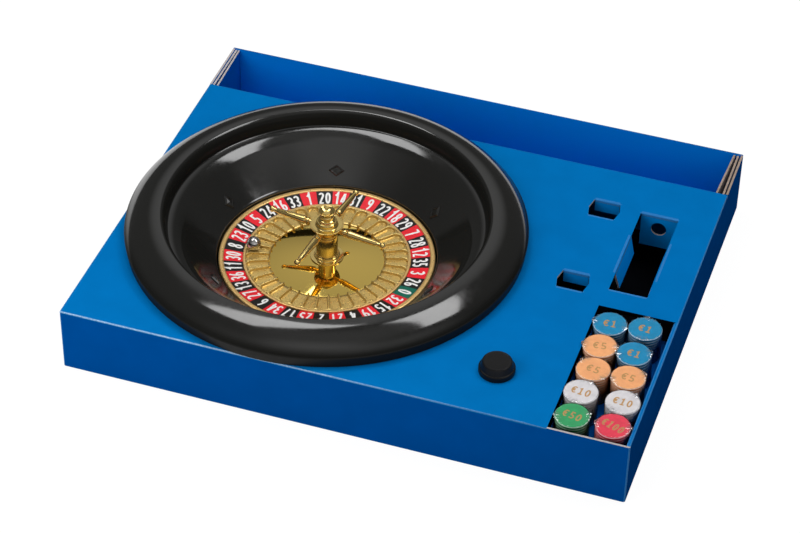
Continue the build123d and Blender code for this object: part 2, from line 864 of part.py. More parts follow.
marker_place = Vector(right - marker_from_right, front + marker_from_front, tray_height)
with BuildPart() as marker:
    with BuildSketch(Plane(origin=marker_place, x_dir=(1, 0, 0), z_dir=(0, -1, 0))):
        with BuildLine():
            Polyline(
                (0, 0),
                (marker_flange_radius, 0),
                (marker_flange_radius, marker_flange_height - marker_edge),
                (marker_flange_radius - marker_edge, marker_flange_height),
                (marker_shoulder_radius, marker_flange_height),
                (marker_top_radius, marker_height - marker_edge),
                (marker_top_radius - marker_edge, marker_height),
                (0, marker_height),
                close=True,
            )
        make_face()
    revolve(axis=Axis(marker_place, (0, 0, 1)))
save(marker, "marker")

with BuildPart() as chip:
    with BuildSketch(Plane.XZ):
        with BuildLine():
            Polyline(
                (0, 0),
                (chip_radius - chip_chamfer, 0),
                (chip_radius, chip_chamfer),
                (chip_radius, chip_thickness - chip_chamfer),
                (chip_radius - chip_chamfer, chip_thickness),
                (0, chip_thickness),
                close=True,
            )
        make_face()
    revolve(axis=Axis.Z)

# Stacks stand in two columns of five. Each is nudged in its place: to the right, to the back,
# and a lean, which is how far each chip sits over from the one below.
stack_nudges = (
    (0.8, 0.0, 0.0),
    (0.1, 0.0, 0.0),
    (1.9, 0.0, 0.0),
    (0.0, 0.0, 0.0),
    (0.6, 0.0, 0.0),
    (-0.5, -0.8, 0.0),
    (-0.3, -0.7, 0.0),
    (-3.0, -0.2, 0.0),
    (-3.8, -0.1, -0.18),
    (-4.6, 2.8, 0.0),
)
rows = len(stack_nudges) // 2
column_x = (
    bin_left + stack_edge_gap + chip_radius,
    right - 2 * board - stack_edge_gap - chip_radius,
)
first_row_y = front + board + stack_front_gap + chip_radius
for index, (nudge_x, nudge_y, lean) in enumerate(stack_nudges):
    stack_x = column_x[index // rows] + nudge_x
    stack_y = first_row_y + (index % rows) * stack_pitch + nudge_y
    chip_places = [
        Location((stack_x + level * lean, stack_y, bin_floor_top + level * chip_thickness))
        for level in range(chips_in_stack)
    ]
    stack_name = f"chip_stack_{index + 1:02d}"
    chip_stack = Compound(label=stack_name, children=[place * chip.part for place in chip_places])
    export_step(chip_stack, f"parts/{stack_name}.step")
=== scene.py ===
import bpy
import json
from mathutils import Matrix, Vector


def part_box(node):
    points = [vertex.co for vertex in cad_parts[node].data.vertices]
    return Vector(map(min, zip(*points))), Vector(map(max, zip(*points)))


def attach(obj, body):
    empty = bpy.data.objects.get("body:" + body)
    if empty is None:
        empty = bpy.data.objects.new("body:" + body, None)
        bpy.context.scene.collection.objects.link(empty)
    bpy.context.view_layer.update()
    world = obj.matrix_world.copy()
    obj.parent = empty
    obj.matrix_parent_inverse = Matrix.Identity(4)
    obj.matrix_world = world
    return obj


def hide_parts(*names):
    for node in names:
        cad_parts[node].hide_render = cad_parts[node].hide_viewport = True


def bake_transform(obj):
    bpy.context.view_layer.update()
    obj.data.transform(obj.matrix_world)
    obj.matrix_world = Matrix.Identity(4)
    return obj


bl_info = {
    "name": "Roulette set",
    "version": (1, 0, 0),
    "blender": (4, 5, 0),
    "location": "View3D > Sidebar > Roulette",
    "description": "Dresses a roulette set: board case, wheel, turret, ball, marker and chips",
    "category": "Object",
}

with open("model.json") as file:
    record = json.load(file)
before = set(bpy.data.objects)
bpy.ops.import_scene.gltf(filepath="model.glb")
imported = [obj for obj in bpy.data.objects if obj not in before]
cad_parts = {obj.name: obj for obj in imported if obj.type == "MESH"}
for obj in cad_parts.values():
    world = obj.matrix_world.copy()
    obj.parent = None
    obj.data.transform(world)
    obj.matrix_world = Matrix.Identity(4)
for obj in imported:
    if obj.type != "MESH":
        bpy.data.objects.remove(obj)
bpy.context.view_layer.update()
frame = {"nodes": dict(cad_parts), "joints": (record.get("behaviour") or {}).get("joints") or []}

import json
import math

import bmesh
import bpy
import numpy as np
from bpy.props import FloatProperty, FloatVectorProperty, IntProperty, PointerProperty
from mathutils import Matrix, Vector, geometry

MM = 0.001
UP = np.array((0.0, 0.0, 1.0))
POCKETS = 37
FIRST_POCKET = -15.4
SECTOR = 360.0 / POCKETS
WHEEL_ORDER = (
    "0 32 15 19 4 21 2 25 17 34 6 27 13 36 11 30 8 23 10 5 24 16 33 1 20 14 31 9 22 18 29 7 "
    "28 12 35 3 26"
).split()
RED_NUMBERS = set("1 3 5 7 9 12 14 16 18 19 21 23 25 27 30 32 34 36".split())


# ------------------------------------------------------------------ places taken from the frame
def low(node):
    """A node's lowest corner in millimetres."""
    return np.array(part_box(node)[0]) / MM


def high(node):
    """A node's highest corner in millimetres."""
    return np.array(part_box(node)[1]) / MM


def middle(node):
    """The middle of a node's box in millimetres."""
    return (low(node) + high(node)) / 2


def read(items, name, width=1, kind=float):
    """One value of every vertex, edge, corner or face of a mesh, in rows where it is wide."""
    values = np.empty(len(items) * width, kind)
    items.foreach_get(name, values)
    return values.reshape(-1, width) if width > 1 else values


def node_points(node):
    """Every corner of a node's mesh in millimetres, each once."""
    points = read(frame["nodes"][node].data.vertices, "co", 3, np.float32)
    return np.unique(np.round(points / MM, 3), axis=0)


def joint_of(body):
    """The joint that carries a body."""
    return next(joint for joint in frame["joints"] if joint["child"] == body)


WHEEL = middle("bowl") * (1, 1, 0)


# ------------------------------------------------------------------ surfaces
def arc(centre, radius, start, end, count):
    """Points on a circle: centre + radius (cos t, sin t), t running evenly from start to end."""
    turn = np.radians(np.linspace(start, end, count))
    return np.array(centre) + radius * np.stack([np.cos(turn), np.sin(turn)], 1)


def ring_points(centre, radius, count):
    """A level circle of points about a centre."""
    turn = np.arange(count) * 2 * np.pi / count
    offset = np.stack([np.cos(turn), np.sin(turn), np.zeros(count)], 1)
    return np.array(centre) + radius * offset


def raised(flat, height=0.0):
    """Flat points as points in space, at a height."""
    return np.concatenate([flat, np.full((len(flat), 1), height)], 1)


def area(loop):
    """Twice the signed area of a flat outline, which is positive if it runs anticlockwise."""
    x, y = loop[:, 0], loop[:, 1]
    return np.sum(x * np.roll(y, -1) - np.roll(x, -1) * y)


def eased(corners, radius, steps=3, closed=True):
    """Turns each corner P into the curve (1-t)^2 A + 2t(1-t) P + t^2 B. A and B lie one radius
    before and after P, and never past the middle of a side."""
    corners = np.asarray(corners, float)
    before, after = np.roll(corners, 1, 0) - corners, np.roll(corners, -1, 0) - corners
    reach = np.broadcast_to(np.asarray(radius, float), len(corners))
    span_a, span_b = np.linalg.norm(before, axis=1), np.linalg.norm(after, axis=1)
    start = corners + before / span_a[:, None] * np.minimum(reach, 0.48 * span_a)[:, None]
    end = corners + after / span_b[:, None] * np.minimum(reach, 0.48 * span_b)[:, None]
    t = np.linspace(0, 1, steps + 1)[None, :, None]
    curve = (
        (1 - t) ** 2 * start[:, None] + 2 * t * (1 - t) * corners[:, None] + t**2 * end[:, None]
    )
    if closed:
        return curve.reshape(-1, corners.shape[1])
    inner = curve[1:-1].reshape(-1, corners.shape[1])
    return np.concatenate([corners[:1], inner, corners[-1:]])


def beside(line, distance):
    """A line's points moved sideways by a distance, mitred: P + d (n1 + n2) / (1 + n1 . n2),
    where n1 and n2 are the normals of the two sides that meet at P."""
    side = np.diff(line, axis=0)
    side /= np.linalg.norm(side, axis=1)[:, None]
    normal = np.stack([-side[:, 1], side[:, 0]], 1)
    first = np.concatenate([normal[:1], normal])
    second = np.concatenate([normal, normal[-1:]])
    share = (first + second) / (1 + (first * second).sum(1))[:, None]
    return line + distance * share


def spread(line, spacing):
    """A polyline's points laid out again along its length, about one spacing apart."""
    length = np.concatenate([[0], np.cumsum(np.linalg.norm(np.diff(line, axis=0), axis=1))])
    count = max(2, int(length[-1] / spacing) + 1)
    at = np.linspace(0, length[-1], count)
    return np.stack([np.interp(at, length, line[:, axis]) for axis in range(line.shape[1])], 1)


def axes_about(axis):
    """Two directions square to an axis, so that the three make a right-handed set."""
    axis = np.array(axis, float) / np.linalg.norm(axis)
    helper = UP if abs(axis[2]) < 0.9 else np.array((0.0, 1.0, 0.0))
    first = np.cross(helper, axis)
    first /= np.linalg.norm(first)
    return axis, first, np.cross(axis, first)


def grid_faces(rows, columns, wrap_rows, wrap_columns):
    """Quads between neighbouring points of a rows by columns grid, row by row."""
    row = np.arange(rows if wrap_rows else rows - 1)[:, None]
    column = np.arange(columns if wrap_columns else columns - 1)[None, :]
    row_next, column_next = (row + 1) % rows, (column + 1) % columns
    quads = np.stack(
        [
            row * columns + column,
            row_next * columns + column,
            row_next * columns + column_next,
            row * columns + column_next,
        ],
        -1,
    )
    return quads.reshape(-1, 4)


def turned(profile, steps=128, origin=(0, 0, 0), axis=(0, 0, 1), closed=True, start=0.0):
    """A profile of (radius, height) points carried round an axis:
    P = origin + h axis + r (cos a U + sin a V). An open profile runs from the axis to the axis."""
    profile = np.asarray(profile, float)
    radius, height = (profile[::-1] if area(profile) > 0 else profile).T
    axis, first, second = axes_about(axis)
    if abs(axis[2]) > 0.9:
        first, second = np.array((1.0, 0, 0)), np.array((0, 1.0, 0)) * np.sign(axis[2])
    turn = np.radians(start) + np.arange(steps) * 2 * np.pi / steps
    around = np.cos(turn)[None, :, None] * first + np.sin(turn)[None, :, None] * second
    points = np.array(origin, float) + height[:, None, None] * axis + radius[:, None, None] * around
    return points.reshape(-1, 3), [grid_faces(len(profile), steps, closed, True)]


def carried(section, path, closed_path=False):
    """A closed section of (across, up) points carried along a path that lies level:
    P = path + across N + up Z, where N is the path's mitred side. Ends are capped."""
    flat = path[:, :2]
    if closed_path:
        loop = np.concatenate([flat[-1:], flat, flat[:1]])
        side = (beside(loop, 1.0) - loop)[1:-1]
    else:
        side = beside(flat, 1.0) - flat
    points = path[:, None] + section[None, :, :1] * raised(side)[:, None]
    points = points + section[None, :, 1:] * UP
    count = len(section)
    faces = [grid_faces(len(path), count, closed_path, True)]
    if not closed_path:
        cap = np.arange(count)[None]
        faces += [cap, cap[:, ::-1] + (len(path) - 1) * count]
    return points.reshape(-1, 3), faces


def joined(parts):
    """Several (points, faces) as one."""
    points, faces, shift = [], [], 0
    for part_points, part_faces in parts:
        points.append(part_points)
        faces += [face + shift for face in part_faces]
        shift += len(part_points)
    return np.concatenate(points), faces


# ------------------------------------------------------------------ pieces
def mesh_of(name, points, faces, finish=None):
    """Puts whole arrays of points and faces into a mesh, merges doubled points and turns the
    faces outwards."""
    corners = np.concatenate([face.ravel() for face in faces]).astype(np.int32)
    sizes = np.concatenate([np.full(len(face), face.shape[1]) for face in faces])
    starts = np.concatenate([[0], np.cumsum(sizes)[:-1]]).astype(np.int32)
    mesh = bpy.data.meshes.new(name)
    mesh.vertices.add(len(points))
    mesh.vertices.foreach_set("co", (np.asarray(points, np.float32) * MM).ravel())
    mesh.loops.add(len(corners))
    mesh.loops.foreach_set("vertex_index", corners)
    mesh.polygons.add(len(sizes))
    mesh.polygons.foreach_set("loop_start", starts)
    if finish is not None:
        mesh.polygons.foreach_set("material_index", np.asarray(finish, np.int32))
    mesh.update(calc_edges=True)
    shape = bmesh.new()
    shape.from_mesh(mesh)
    bmesh.ops.remove_doubles(shape, verts=shape.verts, dist=2e-7)
    bmesh.ops.recalc_face_normals(shape, faces=shape.faces)
    shape.to_mesh(mesh)
    shape.free()
    return mesh


def add_piece(mesh, materials, body, replaces=(), crease=35.0):
    """Makes a piece of a finished mesh, smooth up to the crease angle, and puts it on its body."""
    old = bpy.data.objects.get(mesh.name)
    if old is not None:
        bpy.data.objects.remove(old)
    piece = bpy.data.objects.new(mesh.name, mesh)
    bpy.context.scene.collection.objects.link(piece)
    for material in materials:
        mesh.materials.append(material)
    mesh.polygons.foreach_set("use_smooth", np.ones(len(mesh.polygons), bool))
    mesh.set_sharp_from_angle(angle=math.radians(crease))
    if body is not None:
        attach(piece, body)
    if replaces:
        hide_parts(*replaces)
    return piece


# ------------------------------------------------------------------ finishes
def add_node(tree, kind, inputs=None, **settings):
    """A shader node with its settings. Each input is linked to a socket or set to a value."""
    node = tree.nodes.new(f"ShaderNode{kind}")
    for name, value in settings.items():
        setattr(node, name, value)
    for key, value in (inputs or {}).items():
        if isinstance(value, bpy.types.NodeSocket):
            tree.links.new(value, node.inputs[key])
        else:
            node.inputs[key].default_value = value
    return node


def object_place(tree):
    """Object coordinates, in metres."""
    return add_node(tree, "TexCoord").outputs["Object"]


def split(tree, vector):
    """A vector's three values, by the names X, Y and Z."""
    return add_node(tree, "SeparateXYZ", {"Vector": vector}).outputs


def calculated(tree, operation, *values):
    """One step of arithmetic."""
    inputs = dict(enumerate(values))
    return add_node(tree, "Math", inputs, operation=operation).outputs["Value"]


def mapped(tree, value, start, end, first=0.0, last=1.0, **settings):
    """A value that runs from first to last as another one goes from start to end."""
    inputs = {"Value": value, "From Min": start, "From Max": end, "To Min": first, "To Max": last}
    return add_node(tree, "MapRange", inputs, **settings).outputs["Result"]


def ramped(tree, factor, *stops):
    """A colour that runs through stops of (position, colour)."""
    ramp = add_node(tree, "ValToRGB", {"Fac": factor})
    elements = ramp.color_ramp.elements
    for index, (position, colour) in enumerate(stops):
        stop = elements[index] if index < 2 else elements.new(position)
        stop.position = position
        stop.color = (*colour, 1.0)
    return ramp.outputs["Color"]


def empty_material(name):
    """A material with nothing in its node tree."""
    material = bpy.data.materials.get(name) or bpy.data.materials.new(name)
    material.use_nodes = True
    material.node_tree.nodes.clear()
    return material, material.node_tree


def new_finish(name, colour, roughness, metallic=0.0, specular=0.5):
    """A material with a Principled shader, whose plain values are on the shader's sockets."""
    material, tree = empty_material(name)
    inputs = {
        "Base Color": (*colour, 1.0),
        "Roughness": roughness,
        "Metallic": metallic,
        "Specular IOR Level": specular,
    }
    shader = add_node(tree, "BsdfPrincipled", inputs)
    add_node(tree, "OutputMaterial", {"Surface": shader.outputs["BSDF"]})
    return material, tree, shader


def grain(tree, scale, detail=3.0, roughness=0.5, stretch=None):
    """A noise on Object coordinates, in cells per metre, stretched along an axis if asked."""
    place = object_place(tree)
    if stretch is not None:
        place = add_node(tree, "Mapping", {"Vector": place, "Scale": stretch}).outputs["Vector"]
    inputs = {"Vector": place, "Scale": scale, "Detail": detail, "Roughness": roughness}
    return add_node(tree, "TexNoise", inputs).outputs["Fac"]


def tinted(tree, shader, factor, dark, light, low_at=0.35, high_at=0.65):
    """Base colour that runs from dark to light as a pattern goes from low_at to high_at."""
    colour = ramped(tree, factor, (low_at, dark), (high_at, light))
    tree.links.new(colour, shader.inputs["Base Color"])


def roughened(tree, shader, factor, least, most):
    """Roughness that runs from least to most with a pattern."""
    rough = mapped(tree, factor, 0.3, 0.7, least, most)
    tree.links.new(rough, shader.inputs["Roughness"])


def bumped(tree, shader, factor, depth, after=None):
    """A bump of a depth in metres, on top of another one if given."""
    inputs = {"Height": factor, "Distance": depth}
    if after is not None:
        inputs["Normal"] = after
    normal = add_node(tree, "Bump", inputs).outputs["Normal"]
    tree.links.new(normal, shader.inputs["Normal"])
    return normal


def shade(colour, factor):
    """A colour made lighter or darker by a factor."""
    return tuple(min(1.0, channel * factor) for channel in colour)


def printed(name, colour, sheen=0.0):
    """Cover sheet: fine paper grain, faint cloudiness in the ink, hardly any sheen."""
    material, tree, shader = new_finish(name, colour, 0.5, specular=sheen)
    tinted(tree, shader, grain(tree, 45.0, 4.0), shade(colour, 0.965), shade(colour, 1.035))
    paper = grain(tree, 2600.0, 2.0)
    roughened(tree, shader, paper, 0.42, 0.58)
    soft = bumped(tree, shader, grain(tree, 300.0, 2.0), 0.00004)
    bumped(tree, shader, paper, 0.00001, after=soft)
    return material


def worn_fold_with_painted_highlight():
    """The same ink over a fold, lightened along its crest to a pale blue, partly worn ink and
    partly a painted highlight. It is full along the case's front edge, fades to the right, and is
    faint on every other fold."""
    colour = tuple(bpy.context.scene.board_case.print_colour)
    # pale blue: the colour of a painted highlight along the fold's crest, not of paper
    pale, faintest = (0.36, 0.53, 0.74), 0.1
    material, tree, shader = new_finish("worn, painted-highlight fold", colour, 0.55, specular=0.05)
    at = split(tree, object_place(tree))
    near_front = mapped(tree, at["Y"], -0.1626, -0.1618, 1.0, 0.0)
    highlight_to_right = mapped(tree, at["X"], -0.06, 0.09, 1.0, 0.3)
    on_crest = mapped(tree, at["Z"], 0.0484, 0.0488)
    wear = grain(tree, 900.0, 4.0, 0.6)
    reach = calculated(tree, "MULTIPLY", near_front, highlight_to_right)
    reach = calculated(tree, "MULTIPLY", reach, on_crest)
    reach = calculated(tree, "MAXIMUM", reach, faintest)
    # the wear noise breaks up the painted highlight and the thinned ink together
    highlight_and_wear = calculated(tree, "MULTIPLY", mapped(tree, wear, 0.35, 0.6, 0.45), reach)
    tinted(tree, shader, highlight_and_wear, shade(colour, 1.05), pale, 0.0, 1.0)
    bumped(tree, shader, wear, 0.00003)
    return material


def inner_board_painted_light_shade():
    """Inside faces of the case: print made lighter as painted light in the trough, painted shade
    beneath.
    """
    colour = tuple(bpy.context.scene.board_case.shaded_wall_colour)
    # lit: the trough's print made lighter, painted light; dark: near-black painted shade under the
    # platform
    lit, dark = (0.0, 0.205, 0.7), (0.0025, 0.003, 0.005)
    material, tree, shader = new_finish("inner board, painted light and shade", colour, 0.7, specular=0.02)
    in_trough = mapped(tree, split(tree, object_place(tree))["Y"], 0.1120, 0.1124)
    tinted(tree, shader, in_trough, dark, lit, 0.0, 1.0)
    bumped(tree, shader, grain(tree, 300.0, 2.0), 0.00004)
    return material


def raw_board(name, colour):
    """Cut edge of the board, with short fibres pressed in layers."""
    material, tree, shader = new_finish(name, colour, 0.85, specular=0.1)
    fibre = grain(tree, 700.0, 5.0, 0.65)
    tinted(tree, shader, fibre, shade(colour, 0.72), shade(colour, 1.12))
    bumped(tree, shader, fibre, 0.00008)
    return material


def board_finishes():
    """Every finish of the case's boards, in the order of the numbers below."""
    case = bpy.context.scene.board_case
    return (
        printed("printed top", tuple(case.print_colour), 0.01),
        raw_board("raw board", tuple(case.edge_colour)),
        worn_fold_with_painted_highlight(),
        # insides: painted light in the trough, painted shade under the platform
        inner_board_painted_light_shade(),
        # walls: a darker copy of the print, painted shade
        printed("printed wall, painted shade", tuple(case.shaded_wall_colour)),
        raw_board("pale edge", tuple(case.paper_colour)),
        # the right wall: the walls' blue darker still, painted shade on the side away from the
        # light
        printed("right wall painted shade", shade(case.shaded_wall_colour, 0.62)),
        # flaps: the print made lighter, painted light where the lamps hardly reach
        printed("flap print, painted light", shade(case.print_colour, 1.6)),
    )


TOP, RAW, WORN_WITH_HIGHLIGHT, INNER_PAINTED_LIGHT_SHADE, WALL_SHADED, PALE, SIDE_PAINTED_SHADE, FLAP_PAINTED_LIGHT = range(8)


def bowl_plastic():
    """Moulded black plastic with a high gloss and the faint waves of its mould. It has less
    gloss near the outer lip, low on the front of the apron, and on the inner wall."""
    colour = tuple(bpy.context.scene.roulette_wheel.bowl_colour)
    material, tree, shader = new_finish("bowl plastic", colour, 0.12, specular=1.0)
    place = object_place(tree)
    inputs = {0: place, 1: (1, 1, 0)}
    flat = add_node(tree, "VectorMath", inputs, operation="MULTIPLY").outputs["Vector"]
    inputs = {0: flat, 1: tuple(WHEEL * MM)}
    radius = add_node(tree, "VectorMath", inputs, operation="DISTANCE").outputs["Value"]
    front = WHEEL[1] * MM

    def smooth(value, *span):
        return mapped(tree, value, *span, interpolation_type="SMOOTHSTEP")

    level = smooth(radius, 0.1362, 0.1412, 1.0, 0.02)
    at_front = smooth(split(tree, place)["Y"], front - 0.035, front - 0.005, 0.97, 0.0)
    low_down = smooth(radius, 0.098, 0.108, 1.0, 0.0)
    past_foot = smooth(radius, 0.11165, 0.11205, 0.0, 0.95)
    below_crest = smooth(radius, 0.1140, 0.1162, 1.0, 0.0)
    for first, second in ((at_front, low_down), (past_foot, below_crest)):
        dull = calculated(tree, "MULTIPLY", first, second)
        level = calculated(tree, "SUBTRACT", level, dull)
    tree.links.new(level, shader.inputs["Specular IOR Level"])
    roughened(tree, shader, grain(tree, 220.0, 4.0), 0.09, 0.14)
    wave = bumped(tree, shader, grain(tree, 28.0, 1.0), 0.00006)
    bumped(tree, shader, grain(tree, 1900.0, 3.0), 0.0000025, after=wave)
    return material


def dull_plastic(name, roughness, specular):
    """The same black plastic where the mould was left dull: under the rim, on the deflectors."""
    colour = shade(bpy.context.scene.roulette_wheel.bowl_colour, 0.9)
    material, tree, shader = new_finish(name, colour, roughness, specular=specular)
    roughened(tree, shader, grain(tree, 220.0, 4.0), roughness - 0.04, roughness + 0.05)
    bumped(tree, shader, grain(tree, 1900.0, 3.0), 0.000004)
    return material


def gold_plating(name, tint, roughness, ripple, metallic=1.0):
    """Bright gold plating on moulded plastic, with a slight ripple. The tint multiplies the
    wheel's gold colour."""
    gold = bpy.context.scene.roulette_wheel.gold_colour
    colour = tuple(min(1.0, channel * part) for channel, part in zip(gold, tint))
    material, tree, shader = new_finish(name, colour, roughness, metallic)
    roughened(tree, shader, grain(tree, 400.0, 3.0), roughness * 0.8, roughness * 1.2)
    bumped(tree, shader, grain(tree, 90.0, 2.0), ripple)
    return material


def number_print(name, colour, roughness=0.35):
    """Printed paper label under a thin varnish."""
    material, tree, shader = new_finish(name, colour, roughness, specular=0.35)
    cloud = grain(tree, 600.0, 3.0)
    tinted(tree, shader, cloud, shade(colour, 0.93), shade(colour, 1.05))
    bumped(tree, shader, cloud, 0.000008)
    return material


def chip_plastic_painted_sides(name, colour, base, pitch):
    """Moulded chip: even colour with a slight bloom and fine scratches. Where the face stands
    upright it is painted with light and shade: a darker, more saturated side colour, a painted
    highlight line near each chip's top and painted shade in the grooves, picked out by f = (z -
    base) / pitch, less its whole part."""
    material, tree, shader = new_finish(name, colour, 0.32, specular=0.4)
    bloom = grain(tree, 260.0, 4.0)
    face = ramped(tree, bloom, (0.35, shade(colour, 0.93)), (0.65, shade(colour, 1.05)))
    level = calculated(tree, "SUBTRACT", split(tree, object_place(tree))["Z"], base * MM)
    level = calculated(tree, "FRACT", calculated(tree, "DIVIDE", level, pitch * MM))
    # the side colour, darker and more saturated than the top, is painted shade and bounce light
    shaded_side_colour = tuple(channel**1.4 for channel in colour)
    # pale: a painted highlight line near each chip's top
    pale = tuple(0.62 * channel + 0.38 for channel in colour)
    # seam: painted shade in the groove between two chips
    seam = shade(shaded_side_colour, 0.06)
    stops = ((0.16, seam), (0.3, shaded_side_colour), (0.6, shaded_side_colour), (0.7, pale), (0.93, pale), (1.0, seam))
    side = ramped(tree, level, *stops)
    normal = add_node(tree, "NewGeometry").outputs["Normal"]
    upright = mapped(tree, split(tree, normal)["Z"], 0.95, 0.8)
    inputs = {"Factor": upright, "A": face, "B": side}
    mixed = add_node(tree, "Mix", inputs, data_type="RGBA").outputs["Result"]
    tree.links.new(mixed, shader.inputs["Base Color"])
    roughened(tree, shader, grain(tree, 1500.0, 3.0), 0.25, 0.42)
    bumped(tree, shader, bloom, 0.00002)
    return material


def foil_print():
    """Numerals stamped on the chips in dull gold foil."""
    colour = tuple(bpy.context.scene.chip_stacks.print_colour)
    material, tree, shader = new_finish("chip foil print", colour, 0.5, 0.12)
    wear = grain(tree, 2500.0, 3.0)
    tinted(tree, shader, wear, shade(colour, 0.8), shade(colour, 1.15))
    return material


def polished_steel(name, roughness):
    """Turned steel with faint polishing marks."""
    material, tree, shader = new_finish(name, (0.62, 0.6, 0.58), roughness, 1.0)
    marks = grain(tree, 900.0, 3.0, stretch=(1, 1, 8))
    roughened(tree, shader, marks, roughness * 0.6, roughness * 1.5)
    bumped(tree, shader, marks, 0.000004)
    return material


def marker_plastic():
    """Satin black plastic with a fine spark texture."""
    black = (0.005, 0.005, 0.0055)
    material, tree, shader = new_finish("marker plastic", black, 0.38, specular=0.22)
    roughened(tree, shader, grain(tree, 200.0, 3.0), 0.34, 0.48)
    bumped(tree, shader, grain(tree, 1300.0, 3.0), 0.00002)
    return material


def bush_plastic():
    """Natural white acetal, waxy and slightly cloudy."""
    white = (0.72, 0.71, 0.66)
    material, tree, shader = new_finish("bush plastic", white, 0.4, specular=0.4)
    cloud = grain(tree, 350.0, 3.0)
    tinted(tree, shader, cloud, (0.66, 0.65, 0.6), (0.76, 0.75, 0.71))
    bumped(tree, shader, cloud, 0.00001)
    return material


def shrink_film():
    """Clear film: mostly see-through, with gloss that grows at grazing angles and where the
    mesh's own "gather" value says that the film is folded on itself."""
    material, tree = empty_material("shrink film")
    fresnel = add_node(tree, "Fresnel", {"IOR": 1.45}).outputs["Fac"]
    gather = add_node(tree, "Attribute", attribute_name="gather").outputs["Fac"]
    folded = calculated(tree, "MAXIMUM", fresnel, gather)
    inputs = {"Height": grain(tree, 260.0, 3.0), "Distance": 0.0004}
    normal = add_node(tree, "Bump", inputs).outputs["Normal"]
    gloss = add_node(tree, "BsdfGlossy", {"Roughness": 0.05, "Normal": normal})
    clear = add_node(tree, "BsdfTransparent")
    inputs = {"Fac": folded, 1: clear.outputs["BSDF"], 2: gloss.outputs["BSDF"]}
    mix = add_node(tree, "MixShader", inputs)
    add_node(tree, "OutputMaterial", {"Surface": mix.outputs["Shader"]})
    return material


# ------------------------------------------------------------------ boards
def board_frame(node, facing):
    """A flat board's own axes, found from its corners: across, up and out of its printed face.
    The thinnest direction of the cloud of corners is the board's normal."""
    points = node_points(node)
    centre = (points.min(0) + points.max(0)) / 2
    out = np.linalg.svd(points - points.mean(0), full_matrices=False)[2][2]
    out = out * np.sign(out @ np.array(facing, float))
    up = UP - (UP @ out) * out
    if np.linalg.norm(up) < 0.2:
        up = np.array((0.0, 1.0, 0.0))
    up /= np.linalg.norm(up)
    across = np.cross(up, out)
    local = (points - centre) @ np.stack([across, up, out], 1)
    return centre, across, up, out, local


def corner_loop(local):
    """The four outermost corners of a board in its own plane, anticlockwise."""
    signs = ((-1, -1), (1, -1), (1, 1), (-1, 1))
    picks = [np.argmax(local[:, 0] * a + local[:, 1] * b) for a, b in signs]
    return local[picks, :2]


def plate(loops, thickness):
    """A flat plate between two copies of its outline: loops[0] is its rim and the others are
    its holes. Both faces are filled with triangles, and a band of quads joins each loop's
    copies. Returns points, faces and a kind for each face: 0 front, 1 back, 2 edge."""
    flat = np.concatenate(loops)
    sides, first = [], 0
    for loop in loops:
        ring = first + np.arange(len(loop))
        sides.append(np.stack([ring, np.roll(ring, -1)], 1))
        first += len(loop)
    sides = np.concatenate(sides)
    corners = [Vector(p) for p in flat.tolist()]
    result = geometry.delaunay_2d_cdt(corners, sides.tolist(), [], 0, 1e-6)
    if len(result[0]) != len(flat):
        raise RuntimeError("a board's outline crosses itself")
    triangles = np.array(result[2])
    # a triangle is board where a line from its middle crosses the outlines an odd number of times
    middles = flat[triangles].mean(1)[:, None]
    p, q = flat[sides.T][:, None]
    spans = (p[..., 1] > middles[..., 1]) != (q[..., 1] > middles[..., 1])
    rise = np.where(q[..., 1] == p[..., 1], 1.0, q[..., 1] - p[..., 1])
    meets = p[..., 0] + (middles[..., 1] - p[..., 1]) / rise * (q[..., 0] - p[..., 0])
    triangles = triangles[(spans & (meets > middles[..., 0])).sum(1) % 2 == 1]
    a, b, c = flat[triangles.T]
    turn = (b[:, 0] - a[:, 0]) * (c[:, 1] - a[:, 1]) - (b[:, 1] - a[:, 1]) * (c[:, 0] - a[:, 0])
    triangles[turn < 0] = triangles[turn < 0][:, ::-1]
    count = len(flat)
    start, end = sides.T
    band = np.stack([start + count, end + count, end, start], 1)
    kinds = np.repeat((0, 1, 2), (len(triangles), len(triangles), len(band)))
    points = np.concatenate([raised(flat, thickness / 2), raised(flat, -thickness / 2)])
    return points, [triangles, triangles[:, ::-1] + count, band], kinds


def inside(points, boxes):
    """Which points lie in any of some boxes, each given as its lowest and highest corner."""
    found = np.zeros(len(points), bool)
    for least, most in boxes:
        found |= ((points > np.array(least)) & (points < np.array(most))).all(1)
    return found


def edge_slopes(mesh):
    """The cosine of the angle between the two faces at each edge, and 1 at a loose edge."""
    normals = read(mesh.polygons, "normal", 3)
    totals = read(mesh.polygons, "loop_total", kind=np.int32)
    edges = read(mesh.loops, "edge_index", kind=np.int32)
    owner = np.repeat(np.arange(len(totals)), totals)
    pairs = owner[np.argsort(edges, kind="stable")].reshape(-1, 2)
    slope = np.ones(len(mesh.edges))
    slope[np.unique(edges)] = (normals[pairs[:, 0]] * normals[pairs[:, 1]]).sum(1)
    return slope


